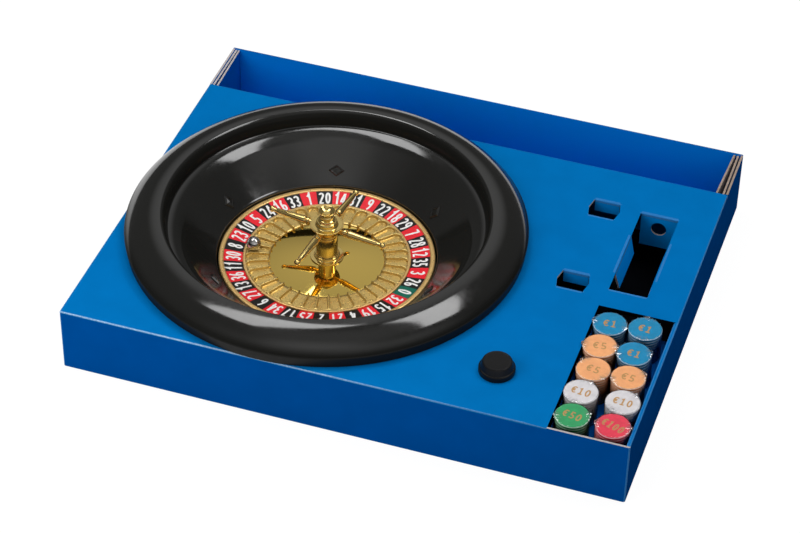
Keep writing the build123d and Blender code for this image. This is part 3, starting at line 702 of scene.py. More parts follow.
def board_piece(
    node,
    facing,
    body="tray",
    loops=None,
    holes=(),
    folds=(),
    finishes=(TOP, RAW, RAW),
    covered=(),
    cover=None,
    pale=(),
    fold=1.0,
    soften=0.0,
):
    """One board of the case in place of its node. Edges inside the folds boxes are rounded as
    folds, and soften rounds every other sharp edge, both in millimetres. The finishes are
    those of its front, its back and its edges. Edge faces inside the covered boxes have the
    cover finish, and those inside the pale boxes show pale paper."""
    centre, across, up, out, local = board_frame(node, facing)
    plane = np.stack([across, up], 1)
    rim = corner_loop(local)
    if loops is not None:
        rim = (np.asarray(loops, float) - centre) @ plane
        rim = rim[::-1] if area(rim) < 0 else rim
    cuts = [(np.asarray(hole, float) - centre) @ plane for hole in holes]
    cuts = [cut[::-1] if area(cut) > 0 else cut for cut in cuts]
    points, faces, kinds = plate([rim, *cuts], np.ptp(local[:, 2]))
    mesh = mesh_of(f"{node}_board", centre + points @ np.stack([across, up, out]), faces)
    # faces keep their order, so the kinds still match
    middles = read(mesh.polygons, "center", 3) / MM
    finish = np.array(finishes)[kinds]
    finish[(kinds == 2) & inside(middles, covered)] = finishes[0] if cover is None else cover
    finish[(kinds == 2) & inside(middles, pale)] = PALE
    mesh.polygons.foreach_set("material_index", finish.astype(np.int32))
    ends = read(mesh.edges, "vertices", 2, np.int32)
    places = read(mesh.vertices, "co", 3) / MM
    folded = np.zeros(len(ends), bool)
    for box in folds:
        folded |= inside(places[ends[:, 0]], [box]) & inside(places[ends[:, 1]], [box])
    weights = folded.astype(float)
    if soften:
        weights = np.where(folded, 1.0, np.where(edge_slopes(mesh) < 0.9, soften / fold, 0.0))
    weight = mesh.attributes.new("bevel_weight_edge", "FLOAT", "EDGE")
    weight.data.foreach_set("value", weights.astype(np.float32))
    piece = add_piece(mesh, board_finishes(), body, (node,))
    if weights.any():
        bevel = piece.modifiers.new("folds", "BEVEL")
        bevel.limit_method = "WEIGHT"
        bevel.width = fold * MM
        bevel.segments = 4
        bevel.use_clamp_overlap = False
        bevel.harden_normals = True
        # fold bevels take the fold finish, whose pale crest is a painted highlight
        bevel.material = WORN_WITH_HIGHLIGHT if folds and not soften else -1
    return piece


def rectangle(x0, x1, y0, y1, z):
    """The corners of a level rectangle."""
    return [(x0, y0, z), (x1, y0, z), (x1, y1, z), (x0, y1, z)]


def colour_setting(name, description, default):
    """A colour among the settings."""
    return FloatVectorProperty(
        name=name,
        description=description,
        subtype="COLOR",
        size=3,
        min=0.0,
        max=1.0,
        default=default,
    )


class BoardCaseSettings(bpy.types.PropertyGroup):
    print_colour: colour_setting(
        name="Print colour",
        description="Colour of the blue cover sheet",
        default=(0.0, 0.153, 0.452),
    )
    # The walls' blue is a darker, more saturated copy of the print: painted shade on the upright
    # faces.
    shaded_wall_colour: colour_setting(
        name="Wall colour, painted shade",
        description="Deeper blue of the walls' cover sheet",
        default=(0.0, 0.086, 0.375),
    )
    paper_colour: colour_setting(
        name="Paper colour",
        description="Pale paper that shows on cut edges and worn folds",
        default=(0.5, 0.46, 0.45),
    )
    edge_colour: colour_setting(
        name="Edge colour",
        description="Colour of the board where it is cut, and inside",
        default=(0.38, 0.29, 0.23),
    )
    fold_radius: FloatProperty(
        name="Fold radius",
        description="Outer radius of the board where the case is folded",
        unit="LENGTH",
        min=0.0002,
        max=0.0014,
        default=0.001,
    )


class ROULETTE_OT_board_case(bpy.types.Operator):
    """Makes the folded board case: bottom, platform with its cut-outs, walls, trough and bin"""

    bl_idname = "roulette.board_case"
    bl_label = "Board case"

    def execute(self, context):
        fold = context.scene.board_case.fold_radius / MM
        marker_to_bin, bin_gap, cut_gap, wheel_hole, kink = 46.4, 0.3, 0.4, 131.0, 1.8
        platform_fold, thin = 0.75, 0.2
        left, front, _ = low("bottom_panel")
        right, back, base = high("bottom_panel")
        under = low("platform_panel")[2]
        _, ledge, top = high("platform_panel")
        bin_left = middle("marker")[0] + marker_to_bin
        bin_back = high("bin_side")[1] + bin_gap

        def along_x(y, x0, x1, z=top - thin):
            """A slim box about an edge that runs from left to right."""
            return (x0 - 1, y - thin, z), (x1 + 1, y + thin, top + 1)

        def along_y(x, y0, y1, z=top - thin):
            """A slim box about an edge that runs from front to back."""
            return (x - thin, y0 - 1, z), (x + thin, y1 + 1, top + 1)

        corners = [
            ((x - thin, y - thin, -1), (x + thin, y + thin, top + 1))
            for x in (left, right)
            for y in (front, back)
        ]
        foot = ((left - 1, front - 1, -thin), (right + 1, back + 1, thin))
        front_rim = along_x(front, left, right, -1)
        side_rims = [along_y(x, front, back, -1) for x in (left, right)]
        board_piece(
            "bottom_panel",
            (0, 0, 1),
            folds=(*corners, foot),
            finishes=(INNER_PAINTED_LIGHT_SHADE, WALL_SHADED, WALL_SHADED),
            fold=fold,
        )
        x0, x1 = low("well_back_flap")[0] - cut_gap, high("well_back_flap")[0] + cut_gap
        y0, y1 = high("well_front_flap")[1], low("well_back_flap")[1]
        side_y0, side_y1 = low("well_left_flap")[1], high("well_left_flap")[1]
        cuts = [ring_points(WHEEL + (0, 0, top), wheel_hole, 180), rectangle(x0, x1, y0, y1, top)]
        folds = [along_x(y, x0, x1) for y in (y1, y0)]
        folds += [along_y(x, side_y0, side_y1) for x in (x0, x1)]
        window_sides = []
        for window in ("rear_rake", "front_rake"):
            tab = f"{window}_back_tab"
            y0, y1 = high(f"{window}_front_tab")[1], low(tab)[1]
            x0, x1 = low(tab)[0] - cut_gap, high(tab)[0] + cut_gap
            y = (y0 + y1) / 2
            cut = [(x0, y0), (x1, y0), (x1 + kink, y), (x1, y1), (x0, y1), (x0 - kink, y)]
            cuts.append(raised(np.array(cut), top))
            window_sides.append(((x0 - 2, y0 + thin, under - 1), (x1 + 2, y1 - thin, top + 1)))
            folds += [along_x(edge, x0, x1) for edge in (y0, y1)]
        rim = [(left, front), (bin_left, front), (bin_left, bin_back)]
        rim += [(right, bin_back), (right, ledge), (left, ledge)]
        rim_folds = [
            along_x(front, left, bin_left),
            along_y(left, front, ledge),
            along_y(right, bin_back, ledge),
            along_x(ledge, left, right),
            corners[0],
        ]
        board_piece(
            "platform_panel",
            (0, 0, 1),
            loops=raised(np.array(rim), top),
            holes=cuts,
            folds=(*rim_folds, *folds),
            finishes=(TOP, INNER_PAINTED_LIGHT_SHADE, INNER_PAINTED_LIGHT_SHADE),
            covered=(front_rim, *side_rims, along_x(ledge, left, right, -1), *folds),
            pale=window_sides,
            fold=platform_fold,
        )
        outline = [(left, base), (right, base), (right, top)]
        outline += [(bin_left, top), (bin_left, under), (left, under)]
        board_piece(
            "front_wall",
            (0, -1, 0),
            loops=[(x, front, z) for x, z in outline],
            folds=corners,
            finishes=(WALL_SHADED, INNER_PAINTED_LIGHT_SHADE, PALE),
            covered=side_rims,
            fold=fold,
        )
        board_piece(
            "back_wall",
            (0, 1, 0),
            folds=(*corners, along_x(back, left, right)),
            finishes=(WALL_SHADED, INNER_PAINTED_LIGHT_SHADE, RAW),
            covered=(*side_rims, ((left - 1, front, top - 0.5), (right + 1, back, top + 1))),
            fold=fold,
        )
        near, far = low("left_wall")[1], high("left_wall")[1]
        outline = [(far, base), (near, base), (near, under)]
        outline += [(ledge, under), (ledge, top), (far, top)]
        board_piece(
            "left_wall",
            (-1, 0, 0),
            loops=[(left, y, z) for y, z in outline],
            finishes=(WALL_SHADED, INNER_PAINTED_LIGHT_SHADE, PALE),
        )
        outline = [(near, base), (far, base), (far, top), (ledge, top)]
        outline += [(ledge, under), (bin_back, under), (bin_back, top), (near, top)]
        board_piece(
            "right_wall",
            (1, 0, 0),
            loops=[(right, y, z) for y, z in outline],
            folds=(along_y(right, front + 1, bin_back),),
            # its outside takes the darker print, painted shade
            finishes=(SIDE_PAINTED_SHADE, INNER_PAINTED_LIGHT_SHADE, RAW),
            covered=(((right - 2, front, top - 0.5), (right + 1, bin_back, top + 1)),),
            cover=TOP,
            fold=fold,
        )
        board_piece("trough_front_wall", (0, 1, 0), finishes=(WALL_SHADED, INNER_PAINTED_LIGHT_SHADE, RAW))
        for side, facing, edge in (("left", (1, 0, 0), PALE), ("right", (-1, 0, 0), RAW)):
            for kind in ("flap", "lining"):
                finishes = (WALL_SHADED, RAW, edge)
                board_piece(f"trough_{side}_{kind}", facing, finishes=finishes, soften=0.2)
        board_piece("bin_floor", (0, 0, 1), finishes=(WALL_SHADED, RAW, INNER_PAINTED_LIGHT_SHADE))
        board_piece("bin_leg", (-1, 0, 0), finishes=(INNER_PAINTED_LIGHT_SHADE, INNER_PAINTED_LIGHT_SHADE, WALL_SHADED))
        x, z = low("bin_side")[0], high("bin_side")[2]
        board_piece(
            "bin_side",
            (-1, 0, 0),
            folds=(((x - thin, front, z - thin), (x + thin, bin_back, z + 1)),),
            finishes=(WALL_SHADED, INNER_PAINTED_LIGHT_SHADE, INNER_PAINTED_LIGHT_SHADE),
            covered=(((x - 1, front, z - 0.5), (right, bin_back, z + 1)),),
            cover=TOP,
            fold=fold,
        )
        return {"FINISHED"}


HINGED_FLAPS = {
    "rear_rake_back_tab": (0, -1, 0),
    "rear_rake_front_tab": (0, 1, 0),
    "front_rake_back_tab": (0, -1, 0),
    "front_rake_front_tab": (0, 1, 0),
    "well_back_flap": (0, -1, 0),
    "well_front_flap": (0, 1, 0),
    "well_left_flap": (1, 0, 0),
    "well_right_flap": (-1, 0, 0),
}


class ROULETTE_OT_hinged_flaps(bpy.types.Operator):
    """Makes the flaps in the two rake windows and the well, and the creases they hang from"""

    bl_idname = "roulette.hinged_flaps"
    bl_label = "Hinged flaps"

    def crease(self, node, facing):
        """A thin strip over a fold. Its section runs flat over the platform, round the fold's
        axis in an arc just outside the board, and down the flap."""
        body = f"{node}_body"
        radius, thickness, flat, drop = 0.79, 0.14, 1.3, 1.5
        _, _, _, out, local = board_frame(node, facing)
        pivot = np.array(joint_of(body)["pos_m"]) / MM
        level = np.array(facing, float)
        lean = math.asin(out @ UP)
        down = drop * np.array((math.sin(lean), -math.cos(lean)))
        sweep = arc((0, 0), 1.0, 90, math.degrees(lean), 9)
        outer, inner = (
            np.concatenate([[[-flat, r]], sweep * r, [sweep[-1] * r + down]])
            for r in (radius, radius - thickness)
        )
        section = np.concatenate([outer, inner[::-1]])
        reach = np.ptp(local[:, 0]) / 2
        curve = pivot + section[:, :1] * level + section[:, 1:] * UP
        points = np.concatenate([curve + side * np.cross(UP, level) for side in (-reach, reach)])
        count = len(section)
        cap = np.arange(count)[None]
        faces = [grid_faces(2, count, False, True), cap[:, ::-1], cap + count]
        mesh = mesh_of(f"{node}_crease", points, faces)
        # the strip takes the fold finish, whose pale crest is a painted highlight
        piece = add_piece(mesh, (worn_fold_with_painted_highlight(),), None, crease=50)
        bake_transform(piece)

    def finger_hole(self, node):
        """The outline of the round hole in a flap, from the corners at the hole's height."""
        lowest, highest, sides = 30, 45, 48
        points = node_points(node)
        rim = points[(points[:, 2] < highest) & (points[:, 2] > lowest)]
        turn = np.arange(sides) * 2 * np.pi / sides
        circle = np.stack([np.cos(turn), np.zeros(sides), np.sin(turn)], 1)
        return (rim.min(0) + rim.max(0)) / 2 + np.ptp(rim[:, 0]) / 2 * circle

    def execute(self, context):
        for node, facing in HINGED_FLAPS.items():
            board_piece(
                node,
                facing,
                body=f"{node}_body",
                holes=[self.finger_hole(node)] if node == "well_back_flap" else [],
                # the flaps' front takes the lighter print, painted light
                finishes=(FLAP_PAINTED_LIGHT, INNER_PAINTED_LIGHT_SHADE, PALE),
                soften=0.15,
            )
            self.crease(node, facing)
        return {"FINISHED"}


# ------------------------------------------------------------------ wheel
class RouletteWheelSettings(bpy.types.PropertyGroup):
    bowl_colour: colour_setting(
        name="Bowl colour",
        description="Colour of the moulded bowl",
        default=(0.0095, 0.0095, 0.0085),
    )
    gold_colour: colour_setting(
        name="Gold colour",
        description="Colour of the plated rotor, disc and turret",
        default=(0.95, 0.68, 0.2),
    )
    red_colour: colour_setting(
        name="Red fields",
        description="Colour of the red number fields",
        default=(0.8, 0.012, 0.025),
    )
    black_colour: colour_setting(
        name="Black fields",
        description="Colour of the black number fields",
        default=(0.008, 0.007, 0.007),
    )
    green_colour: colour_setting(
        name="Green field",
        description="Colour of the zero's field",
        default=(0.0, 0.13, 0.085),
    )


# radii of the apron's inner edge, of its outer edge and of the rim's crest
APRON_END, APRON_FOOT, CREST = 79.4, 112.0, 117.0
DEFLECTORS, DEFLECTOR_RADIUS, DEFLECTOR_FIRST = 6, 86.0, 45
DEFLECTOR_HALVES = (6.1, 4.3)
# a deflector's rows from root to peak: share of its size, and height over the apron
DEFLECTOR_ROWS = ((1.0, -1.2), (1.0, 0.3), (0.72, 1.15), (0.6, 0.85), (0.0, 1.35))
APRON_BELOW = 60  # the apron lies lower than this, the rim higher


def bowl_line():
    """The bowl's upper face as (radius, height) corners: skirt, the crown's one arc, the inner
    wall's quarter ellipse, the ball track's arc, the cone that touches it, lip and floor."""
    rim, inset, skirt_rise, inner_width, inner_drop = 142.0, 25.0, 7.7, 5.0, 11.2
    slope, roll, roll_start = math.radians(10.0), 21.0, 101.5
    foot_drop, end_drop = 11.5, 18.8
    crest = high("bowl")[2]
    platform = high("platform_panel")[2]
    rise = crest - platform - skirt_rise
    crown = (inset**2 + rise**2) / (2 * rise)
    turn = math.degrees(math.acos(inset / crown))
    over = arc((CREST, crest - crown), crown, turn, 90, 36)
    skirt = [(rim - 1.0, platform + 0.3), (rim, platform + skirt_rise), over[1]]
    wall = arc((0, 0), 1.0, 90, 180, 24)[1:-1] * (inner_width, inner_drop)
    foot = np.array((APRON_FOOT, crest - foot_drop))
    apron_end = np.array((APRON_END, platform - end_drop))
    centre = foot + roll * np.array((math.sin(slope), -math.cos(slope)))
    to_end = apron_end - centre
    touch = math.degrees(math.atan2(to_end[1], to_end[0])) % 360
    touch -= math.degrees(math.acos(roll / np.linalg.norm(to_end)))
    # lip, side, floor and boss of the well that the rotor lies in, below the platform
    well = [(78.6, -19.1), (78.2, -19.9), (78.2, -32.2), (77.7, -32.7)]
    well += [(9.5, -32.7), (9.0, -32.2), (9.0, -30.5), (8.8, -30.3)]
    return np.concatenate(
        [
            eased(skirt, 0.3, 4, False),
            over[2:],
            wall + (CREST, crest - inner_drop),
            [foot + (0, 0.5), foot + (-0.2, 0.15)],
            arc(centre, roll, roll_start, touch, 40),
            [apron_end + (0.25, 0.26), apron_end + (0.0, 0.06)],
            [(radius, platform + height) for radius, height in well],
        ]
    )


def apron_height(radius):
    """Height of the bowl's upper face at a radius on the apron."""
    line = bowl_line()
    inner, outer = APRON_END - 0.5, APRON_FOOT - 0.2
    part = line[(line[:, 0] > inner) & (line[:, 0] < outer) & (line[:, 1] < APRON_BELOW)]
    order = np.argsort(part[:, 0])
    return np.interp(radius, part[order, 0], part[order, 1])


class ROULETTE_OT_bowl(bpy.types.Operator):
    """Makes the wheel's bowl: rim, apron and well in one wall, foot ring and six deflectors"""

    bl_idname = "roulette.bowl"
    bl_label = "Wheel bowl"

    def shell(self):
        """The whole bowl, turned: its upper face, the well's outside, the foot ring, and the
        hollow under apron and rim, one wall below the upper face."""
        wall, bore, boss, foot, well, under_well = 2.4, 2.6, 4.7, 1.5, (80.6, 29.0), 14.9
        ring_inner, ring_outer = 63.6, 66.0
        skirt_inner, skirt_from, skirt_top, skirt_foot = 139.3, 139.5, 57.0, (138.6, 48.8)
        apron_from, apron_to, rim_from, rim_above = 82.0, 111.6, 111.9, 59.5
        bottom = low("bowl")[2]
        top = bowl_line()
        under = [(bore, top[-1, 1]), (bore, low("spindle_washer")[2] - boss)]
        under += [(ring_inner, under_well), (ring_inner, foot), (ring_outer, foot)]
        under += [(ring_outer, under_well), (well[0], under_well), well]
        radius, height = top.T
        apron = (radius > apron_from) & (radius < apron_to) & (height < APRON_BELOW)
        rim = (height > rim_above) & (radius > rim_from)
        # the hollow follows the upper face at the wall's thickness, with fewer points
        hollow = [beside(top[apron][::-1][::3], -wall), beside(top[rim][::-1][::2], -wall)]
        hollow = np.concatenate(hollow)
        hollow = hollow[hollow[:, 0] < skirt_inner]
        skirt_end = (skirt_foot[0], bottom + skirt_foot[1])
        profile = np.concatenate([top, under, hollow, [skirt_end]])
        mesh = mesh_of("bowl_shell", *turned(profile, 360, origin=WHEEL))
        offset = read(mesh.polygons, "center", 3) / MM - WHEEL
        away = np.hypot(offset[:, 0], offset[:, 1])
        skirt = (offset[:, 2] < bottom + skirt_top) & (away > skirt_from)
        mesh.polygons.foreach_set("material_index", skirt.astype(np.int32))
        materials = (bowl_plastic(), dull_plastic("bowl skirt plastic", 0.5, 0.15))
        add_piece(mesh, materials, "bowl_unit", ("bowl",), crease=40)

    def deflector(self, index):
        """A lozenge that rises from a steep border to four shallow facets. Every other one
        lies across."""
        angle = math.radians(DEFLECTOR_FIRST + 360 // DEFLECTORS * index)
        out = np.array((math.cos(angle), math.sin(angle), 0))
        along = np.array((-math.sin(angle), math.cos(angle), 0))
        before, after = DEFLECTOR_RADIUS - 1, DEFLECTOR_RADIUS + 1
        slope = (apron_height(after) - apron_height(before)) / 2
        lift = np.cross(out + slope * UP, along)
        lift /= np.linalg.norm(lift)
        outward = np.cross(along, lift)
        halves = DEFLECTOR_HALVES if index % 2 == 0 else DEFLECTOR_HALVES[::-1]
        centre = WHEEL + out * DEFLECTOR_RADIUS + UP * apron_height(DEFLECTOR_RADIUS)
        corners = np.array([(1, 0), (0, 1), (-1, 0), (0, -1)], float) * halves
        rows = [
            centre + corners[:, :1] * share * outward + corners[:, 1:] * share * along
            + height * lift
            for share, height in DEFLECTOR_ROWS
        ]
        faces = [grid_faces(len(rows), 4, False, True), np.array([[3, 2, 1, 0]])]
        return np.concatenate(rows), faces

    def execute(self, context):
        self.shell()
        deflectors = joined([self.deflector(index) for index in range(DEFLECTORS)])
        mesh = mesh_of("deflectors", *deflectors)
        dull = dull_plastic("deflector plastic", 0.3, 0.6)
        add_piece(mesh, (dull,), "bowl_unit", crease=5)
        return {"FINISHED"}


# radii of the pocket ring's outer and inner edge, and the height of a fret over its floor
POCKET_OUTER, POCKET_INNER, FRET_HEIGHT = 57.8, 41.3, 2.2
LABEL_SLOPE = math.tan(math.radians(9.0))
# a fret's section from a pocket's floor to the fret's top: step outwards, and height
FRET_SECTION = (
    (-1.0, 0.0),
    (-0.42, 0.0),
    (-0.22, 0.06),
    (-0.08, 0.22),
    (-0.02, 0.5),
    (0.06, 1.55),
    (0.14, 1.9),
    (0.28, 2.1),
    (0.48, FRET_HEIGHT),
)


def rotor_height(radius):
    """Height of the label on the number ring at a radius: a straight slope down inwards."""
    return high("number_ring")[2] - (73.1 - np.asarray(radius)) * LABEL_SLOPE


class ROULETTE_OT_rotor(bpy.types.Operator):
    """Makes the plated rotor: outer ring, seat of the label, and 37 pockets between frets"""

    bl_idname = "roulette.rotor"
    bl_label = "Rotor"

    def pocket_ring(self, frets, floor):
        """One sector is a grid: the columns run up one side of a pocket, round its end and
        down the other side, and the rows step across the fret's section. The grid is turned
        round the wheel once for each pocket."""
        fret, end_wall, spacing = 1.4, 0.4, 1.6
        half = math.radians(SECTOR / 2)
        end_outer = POCKET_OUTER - end_wall
        end_centre = (end_outer + fret / 2) / (1 + math.sin(half))
        tangent = 90 + math.degrees(half)
        bend = arc((end_centre, 0), end_outer - end_centre, -tangent, tangent, 25)
        bend_start = bend[0][0]
        ends = np.array([(POCKET_INNER - 0.2, 0.0), (bend_start, 0.0)])
        along = spread(ends, spacing)[:, 0]
        side = np.stack([along, along * math.tan(half) - fret / 2 / math.cos(half)], 1)
        path = np.concatenate([side * (1, -1), bend[1:-1], side[::-1]])
        rows = [raised(beside(path, -across), floor + height) for across, height in FRET_SECTION]
        # the innermost row closes on the pocket's own middle line
        spine = np.stack([np.minimum(path[:, 0], end_centre), np.zeros(len(path))], 1)
        rows.insert(0, raised(spine, floor))
        # the outermost row stands on the line between two pockets and on the outer circle
        edge = np.stack([path[:, 0], np.sign(path[:, 1]) * path[:, 0] * math.tan(half)], 1)
        on_bend = path[:, 0] > bend_start + 0.01
        unit = rows[-1][:, :2] - np.array((end_centre, 0.0))
        unit = unit / np.linalg.norm(unit, axis=1)[:, None]
        along = end_centre * unit[:, 0]
        circle = -along + np.sqrt(along**2 + (POCKET_OUTER + 0.05) ** 2 - end_centre**2)
        slope = np.abs(unit[:, 1]) - unit[:, 0] * math.tan(half)
        line = np.where(slope > 1e-6, end_centre * math.tan(half) / np.maximum(slope, 1e-6), 1e9)
        meeting = np.array((end_centre, 0.0)) + unit * np.minimum(circle, line)[:, None]
        edge[on_bend] = meeting[on_bend]
        rows = np.array([*rows, raised(edge, frets)])
        rows[..., 0] = np.maximum(rows[..., 0], 0)
        turn = np.radians(FIRST_POCKET + np.arange(POCKETS) * SECTOR)
        cos, sin = np.cos(turn)[:, None, None], np.sin(turn)[:, None, None]
        x = rows[None, ..., 0] * cos - rows[None, ..., 1] * sin
        y = rows[None, ..., 0] * sin + rows[None, ..., 1] * cos
        z = np.broadcast_to(rows[None, ..., 2], x.shape)
        points = np.stack([x, y, z], -1).reshape(-1, 3) + WHEEL
        quads = grid_faces(*rows.shape[:2], False, False)
        shift = np.arange(POCKETS)[:, None, None] * rows.shape[0] * rows.shape[1]
        return points, [(quads[None] + shift).reshape(-1, 4)]

    def rings(self, hub, frets, floor):
        """The rotor's section round the pockets: crowned outer ring, seat of the label, inner
        ring, the bed of the pockets, hub and underside."""
        rim, bore, hub_radius, under = 76.9, 4.05, 9.0, 1.8
        crown, shoulder = hub + 8.9, hub + 8.3
        seat = crown - 0.9
        line = [(rim, hub + 2.3), (rim, shoulder), (76.55, crown - 0.2), (75.9, crown)]
        line += [(74.5, crown - 0.02), (73.7, crown - 0.18), (73.3, shoulder), (73.3, seat)]
        line += [(59.7, seat - 13.6 * LABEL_SLOPE), (59.7, frets - 0.25), (59.45, frets)]
        line += [(58.2, frets + 0.02), (57.75, frets - 0.15), (57.5, frets - 0.8)]
        line += [(57.5, floor - 0.5), (42.0, floor - 0.5), (POCKET_INNER, floor - 0.8)]
        line += [(bore, floor - 0.8), (bore, hub), (hub_radius - 0.2, hub)]
        line += [(hub_radius, hub + 0.2), (hub_radius, hub + under), (76.4, hub + under)]
        return turned(eased(line, 0.22, 3), 296, origin=WHEEL)

    def disc(self):
        """The mirror-finished disc inside the pockets: a shallow cone."""
        radius, bore, flat = 41.0, 4.05, 12.0
        bottom, top = low("cone_disc")[2], high("cone_disc")[2] - 0.02
        line = [(bore, bottom), (radius, bottom), (radius, bottom + 0.35)]
        line += [(radius - 0.15, bottom + 0.5), (flat, top), (bore, top)]
        return turned(eased(line, (0, 0.1, 0.1, 0.15, 0.1, 0), 3), 256, origin=WHEEL)

    def execute(self, context):
        hub = low("rotor_plate")[2]
        frets = hub + 7.4
        floor = frets - FRET_HEIGHT
        gold = gold_plating("pocket gold", (0.86, 0.86, 1.0), 0.3, 0.0000015, 0.8)
        satin = gold_plating("ring gold", (0.92, 0.84, 1.1), 0.32, 0.0000015, 0.75)
        mirror = gold_plating("disc gold", (1.0, 1.0, 0.85), 0.045, 0.000002)
        mesh = mesh_of("pocket_ring", *self.pocket_ring(frets, floor))
        if read(mesh.polygons, "normal", 3)[:, 2].sum() < 0:
            mesh.flip_normals()
        pockets = add_piece(mesh, (gold,), "rotor", crease=40)
        wall = pockets.modifiers.new("wall", "SOLIDIFY")
        wall.thickness = 0.0004
        wall.offset = -1
        mesh = mesh_of("rotor_rings", *self.rings(hub, frets, floor))
        add_piece(mesh, (satin,), "rotor", ("rotor_plate",), crease=40)
        mesh = mesh_of("mirror_disc", *self.disc())
        add_piece(mesh, (mirror,), "rotor", ("cone_disc",), crease=30)
        return {"FINISHED"}


# ------------------------------------------------------------------ numerals
def bow(cx, cy, rx, ry, start=0, end=360, count=16):
    """Points on an ellipse from one angle to another."""
    turn = np.radians(np.linspace(start, end, count))
    return np.stack([cx + rx * np.cos(turn), cy + ry * np.sin(turn)], 1)


def strokes(*lines):
    """Centre lines from lists of corners and curves, one list for each line."""
    return [np.concatenate([np.reshape(piece, (-1, 2)) for piece in line]) for line in lines]


# the centre lines of each numeral, in a box one wide and two high
SIX = strokes([bow(0.66, 0.62, 0.5, 1.28, 98, 180, 10)], [bow(0.5, 0.55, 0.34, 0.41, count=25)])
NUMERALS = {
    "0": strokes([bow(0.5, 1.0, 0.34, 0.86, count=33)]),
    "one": strokes([(0.14, 1.62), (0.5, 1.86), (0.5, 0.14)], [(0.1, 0.14), (0.9, 0.14)]),
    "1": strokes([(0.16, 1.5), (0.42, 1.66), (0.6, 1.98), (0.6, 0.0)]),
    "2": strokes(
        [bow(0.48, 1.5, 0.33, 0.36, 160, -25, 14), (0.2, 0.3), (0.17, 0.14), (0.88, 0.14)]
    ),
    "3": strokes(
        [bow(0.46, 1.46, 0.33, 0.4, 155, -80, 15), (0.36, 1.03)],
        [(0.36, 1.03), bow(0.46, 0.56, 0.36, 0.42, 80, -155, 15)],
    ),
    "4": strokes(
        [(0.62, 1.9), (0.14, 0.66), (0.14, 0.52), (0.96, 0.52)], [(0.66, 1.98), (0.66, 0.0)]
    ),
    "5": strokes(
        [(0.84, 1.86), (0.28, 1.86), (0.23, 1.15), bow(0.47, 0.6, 0.36, 0.46, 125, -150, 17)[1:]]
    ),
    "6": SIX,
    "7": strokes([(0.1, 1.86), (0.86, 1.86), (0.84, 1.66), (0.36, 0.0)]),
    "8": strokes(
        [bow(0.5, 1.46, 0.3, 0.4, count=23)], [bow(0.5, 0.56, 0.35, 0.43, count=25)]
    ),
    "9": [(1.0, 2.0) - line for line in SIX],
    "euro": strokes(
        [bow(0.58, 1.0, 0.42, 0.82, 48, 312, 25)],
        [(0.0, 1.16), (0.72, 1.16)],
        [(0.0, 0.84), (0.66, 0.84)],
    ),
}


def stroke_ribbon(line, width, thickness):
    """A flat ribbon along a centre line: a rectangle carried along it, with square ends."""
    closed = bool(np.linalg.norm(line[0] - line[-1]) < 1e-6)
    path = raised(line[:-1] if closed else line)
    half = width / 2
    section = np.array([(-half, 0), (half, 0), (half, thickness), (-half, thickness)])
    return carried(section, path, closed)


def word_ribbons(signs, width, height, gap, weight, thickness):
    """Numerals in a row, centred on the origin: x along the row, y up them. Each stroke of a
    numeral lies a hair over the one before, so that no two faces share a plane."""
    parts, hair = [], 0.008
    start = -(len(signs) * width + (len(signs) - 1) * gap) / 2
    for sign in signs:
        for level, stroke in enumerate(NUMERALS[sign]):
            scaled = stroke * (width, height / 2) + (start, -height / 2)
            ribbon, faces = stroke_ribbon(scaled, weight, thickness)
            parts.append((ribbon + (0, 0, hair * level), faces))
        start += width + gap
    return joined(parts)


class ROULETTE_OT_number_ring(bpy.types.Operator):
    """Makes the number label: 37 coloured fields on a shallow cone, and their numerals"""

    bl_idname = "roulette.number_ring"
    bl_label = "Number ring"

    def execute(self, context):
        wheel = context.scene.roulette_wheel
        outer, inner, thickness, steps_per_field = 73.15, 59.85, 0.3, 8
        numeral_radius, stand_off = 66.4, 0.012
        print_size = {"width": 3.7, "height": 10.9, "gap": 1.0, "weight": 1.45, "thickness": 0.03}
        tops = [(outer, rotor_height(outer)), (inner, rotor_height(inner))]
        profile = [(radius, height - thickness) for radius, height in tops[::-1]] + tops
        start = FIRST_POCKET + SECTOR / 2
        label = turned(profile, POCKETS * steps_per_field, origin=WHEEL, start=start)
        mesh = mesh_of("number_label", *label)
        offset = read(mesh.polygons, "center", 3) / MM - WHEEL
        angle = np.degrees(np.arctan2(offset[:, 1], offset[:, 0]))
        field = np.round((FIRST_POCKET - angle) / SECTOR).astype(int) % POCKETS
        colours = np.array([0 if n == "0" else 1 if n in RED_NUMBERS else 2 for n in WHEEL_ORDER])
        mesh.polygons.foreach_set("material_index", colours[field].astype(np.int32))
        materials = (
            number_print("green field", tuple(wheel.green_colour)),
            number_print("red fields", tuple(wheel.red_colour)),
            number_print("black fields", tuple(wheel.black_colour)),
        )
        add_piece(mesh, materials, "rotor", ("number_ring",))
        parts = []
        for place, number in enumerate(WHEEL_ORDER):
            word, word_faces = word_ribbons(number, **print_size)
            radius = numeral_radius + word[:, 1]
            turn = math.radians(FIRST_POCKET - place * SECTOR) - word[:, 0] / numeral_radius
            height = rotor_height(radius) + stand_off + word[:, 2]
            wrapped = np.stack([radius * np.cos(turn), radius * np.sin(turn), height], 1)
            parts.append((wrapped + WHEEL, word_faces))
        mesh = mesh_of("numerals", *joined(parts))
        white = number_print("numeral white", (0.86, 0.85, 0.83), 0.4)
        add_piece(mesh, (white,), "rotor")
        return {"FINISHED"}


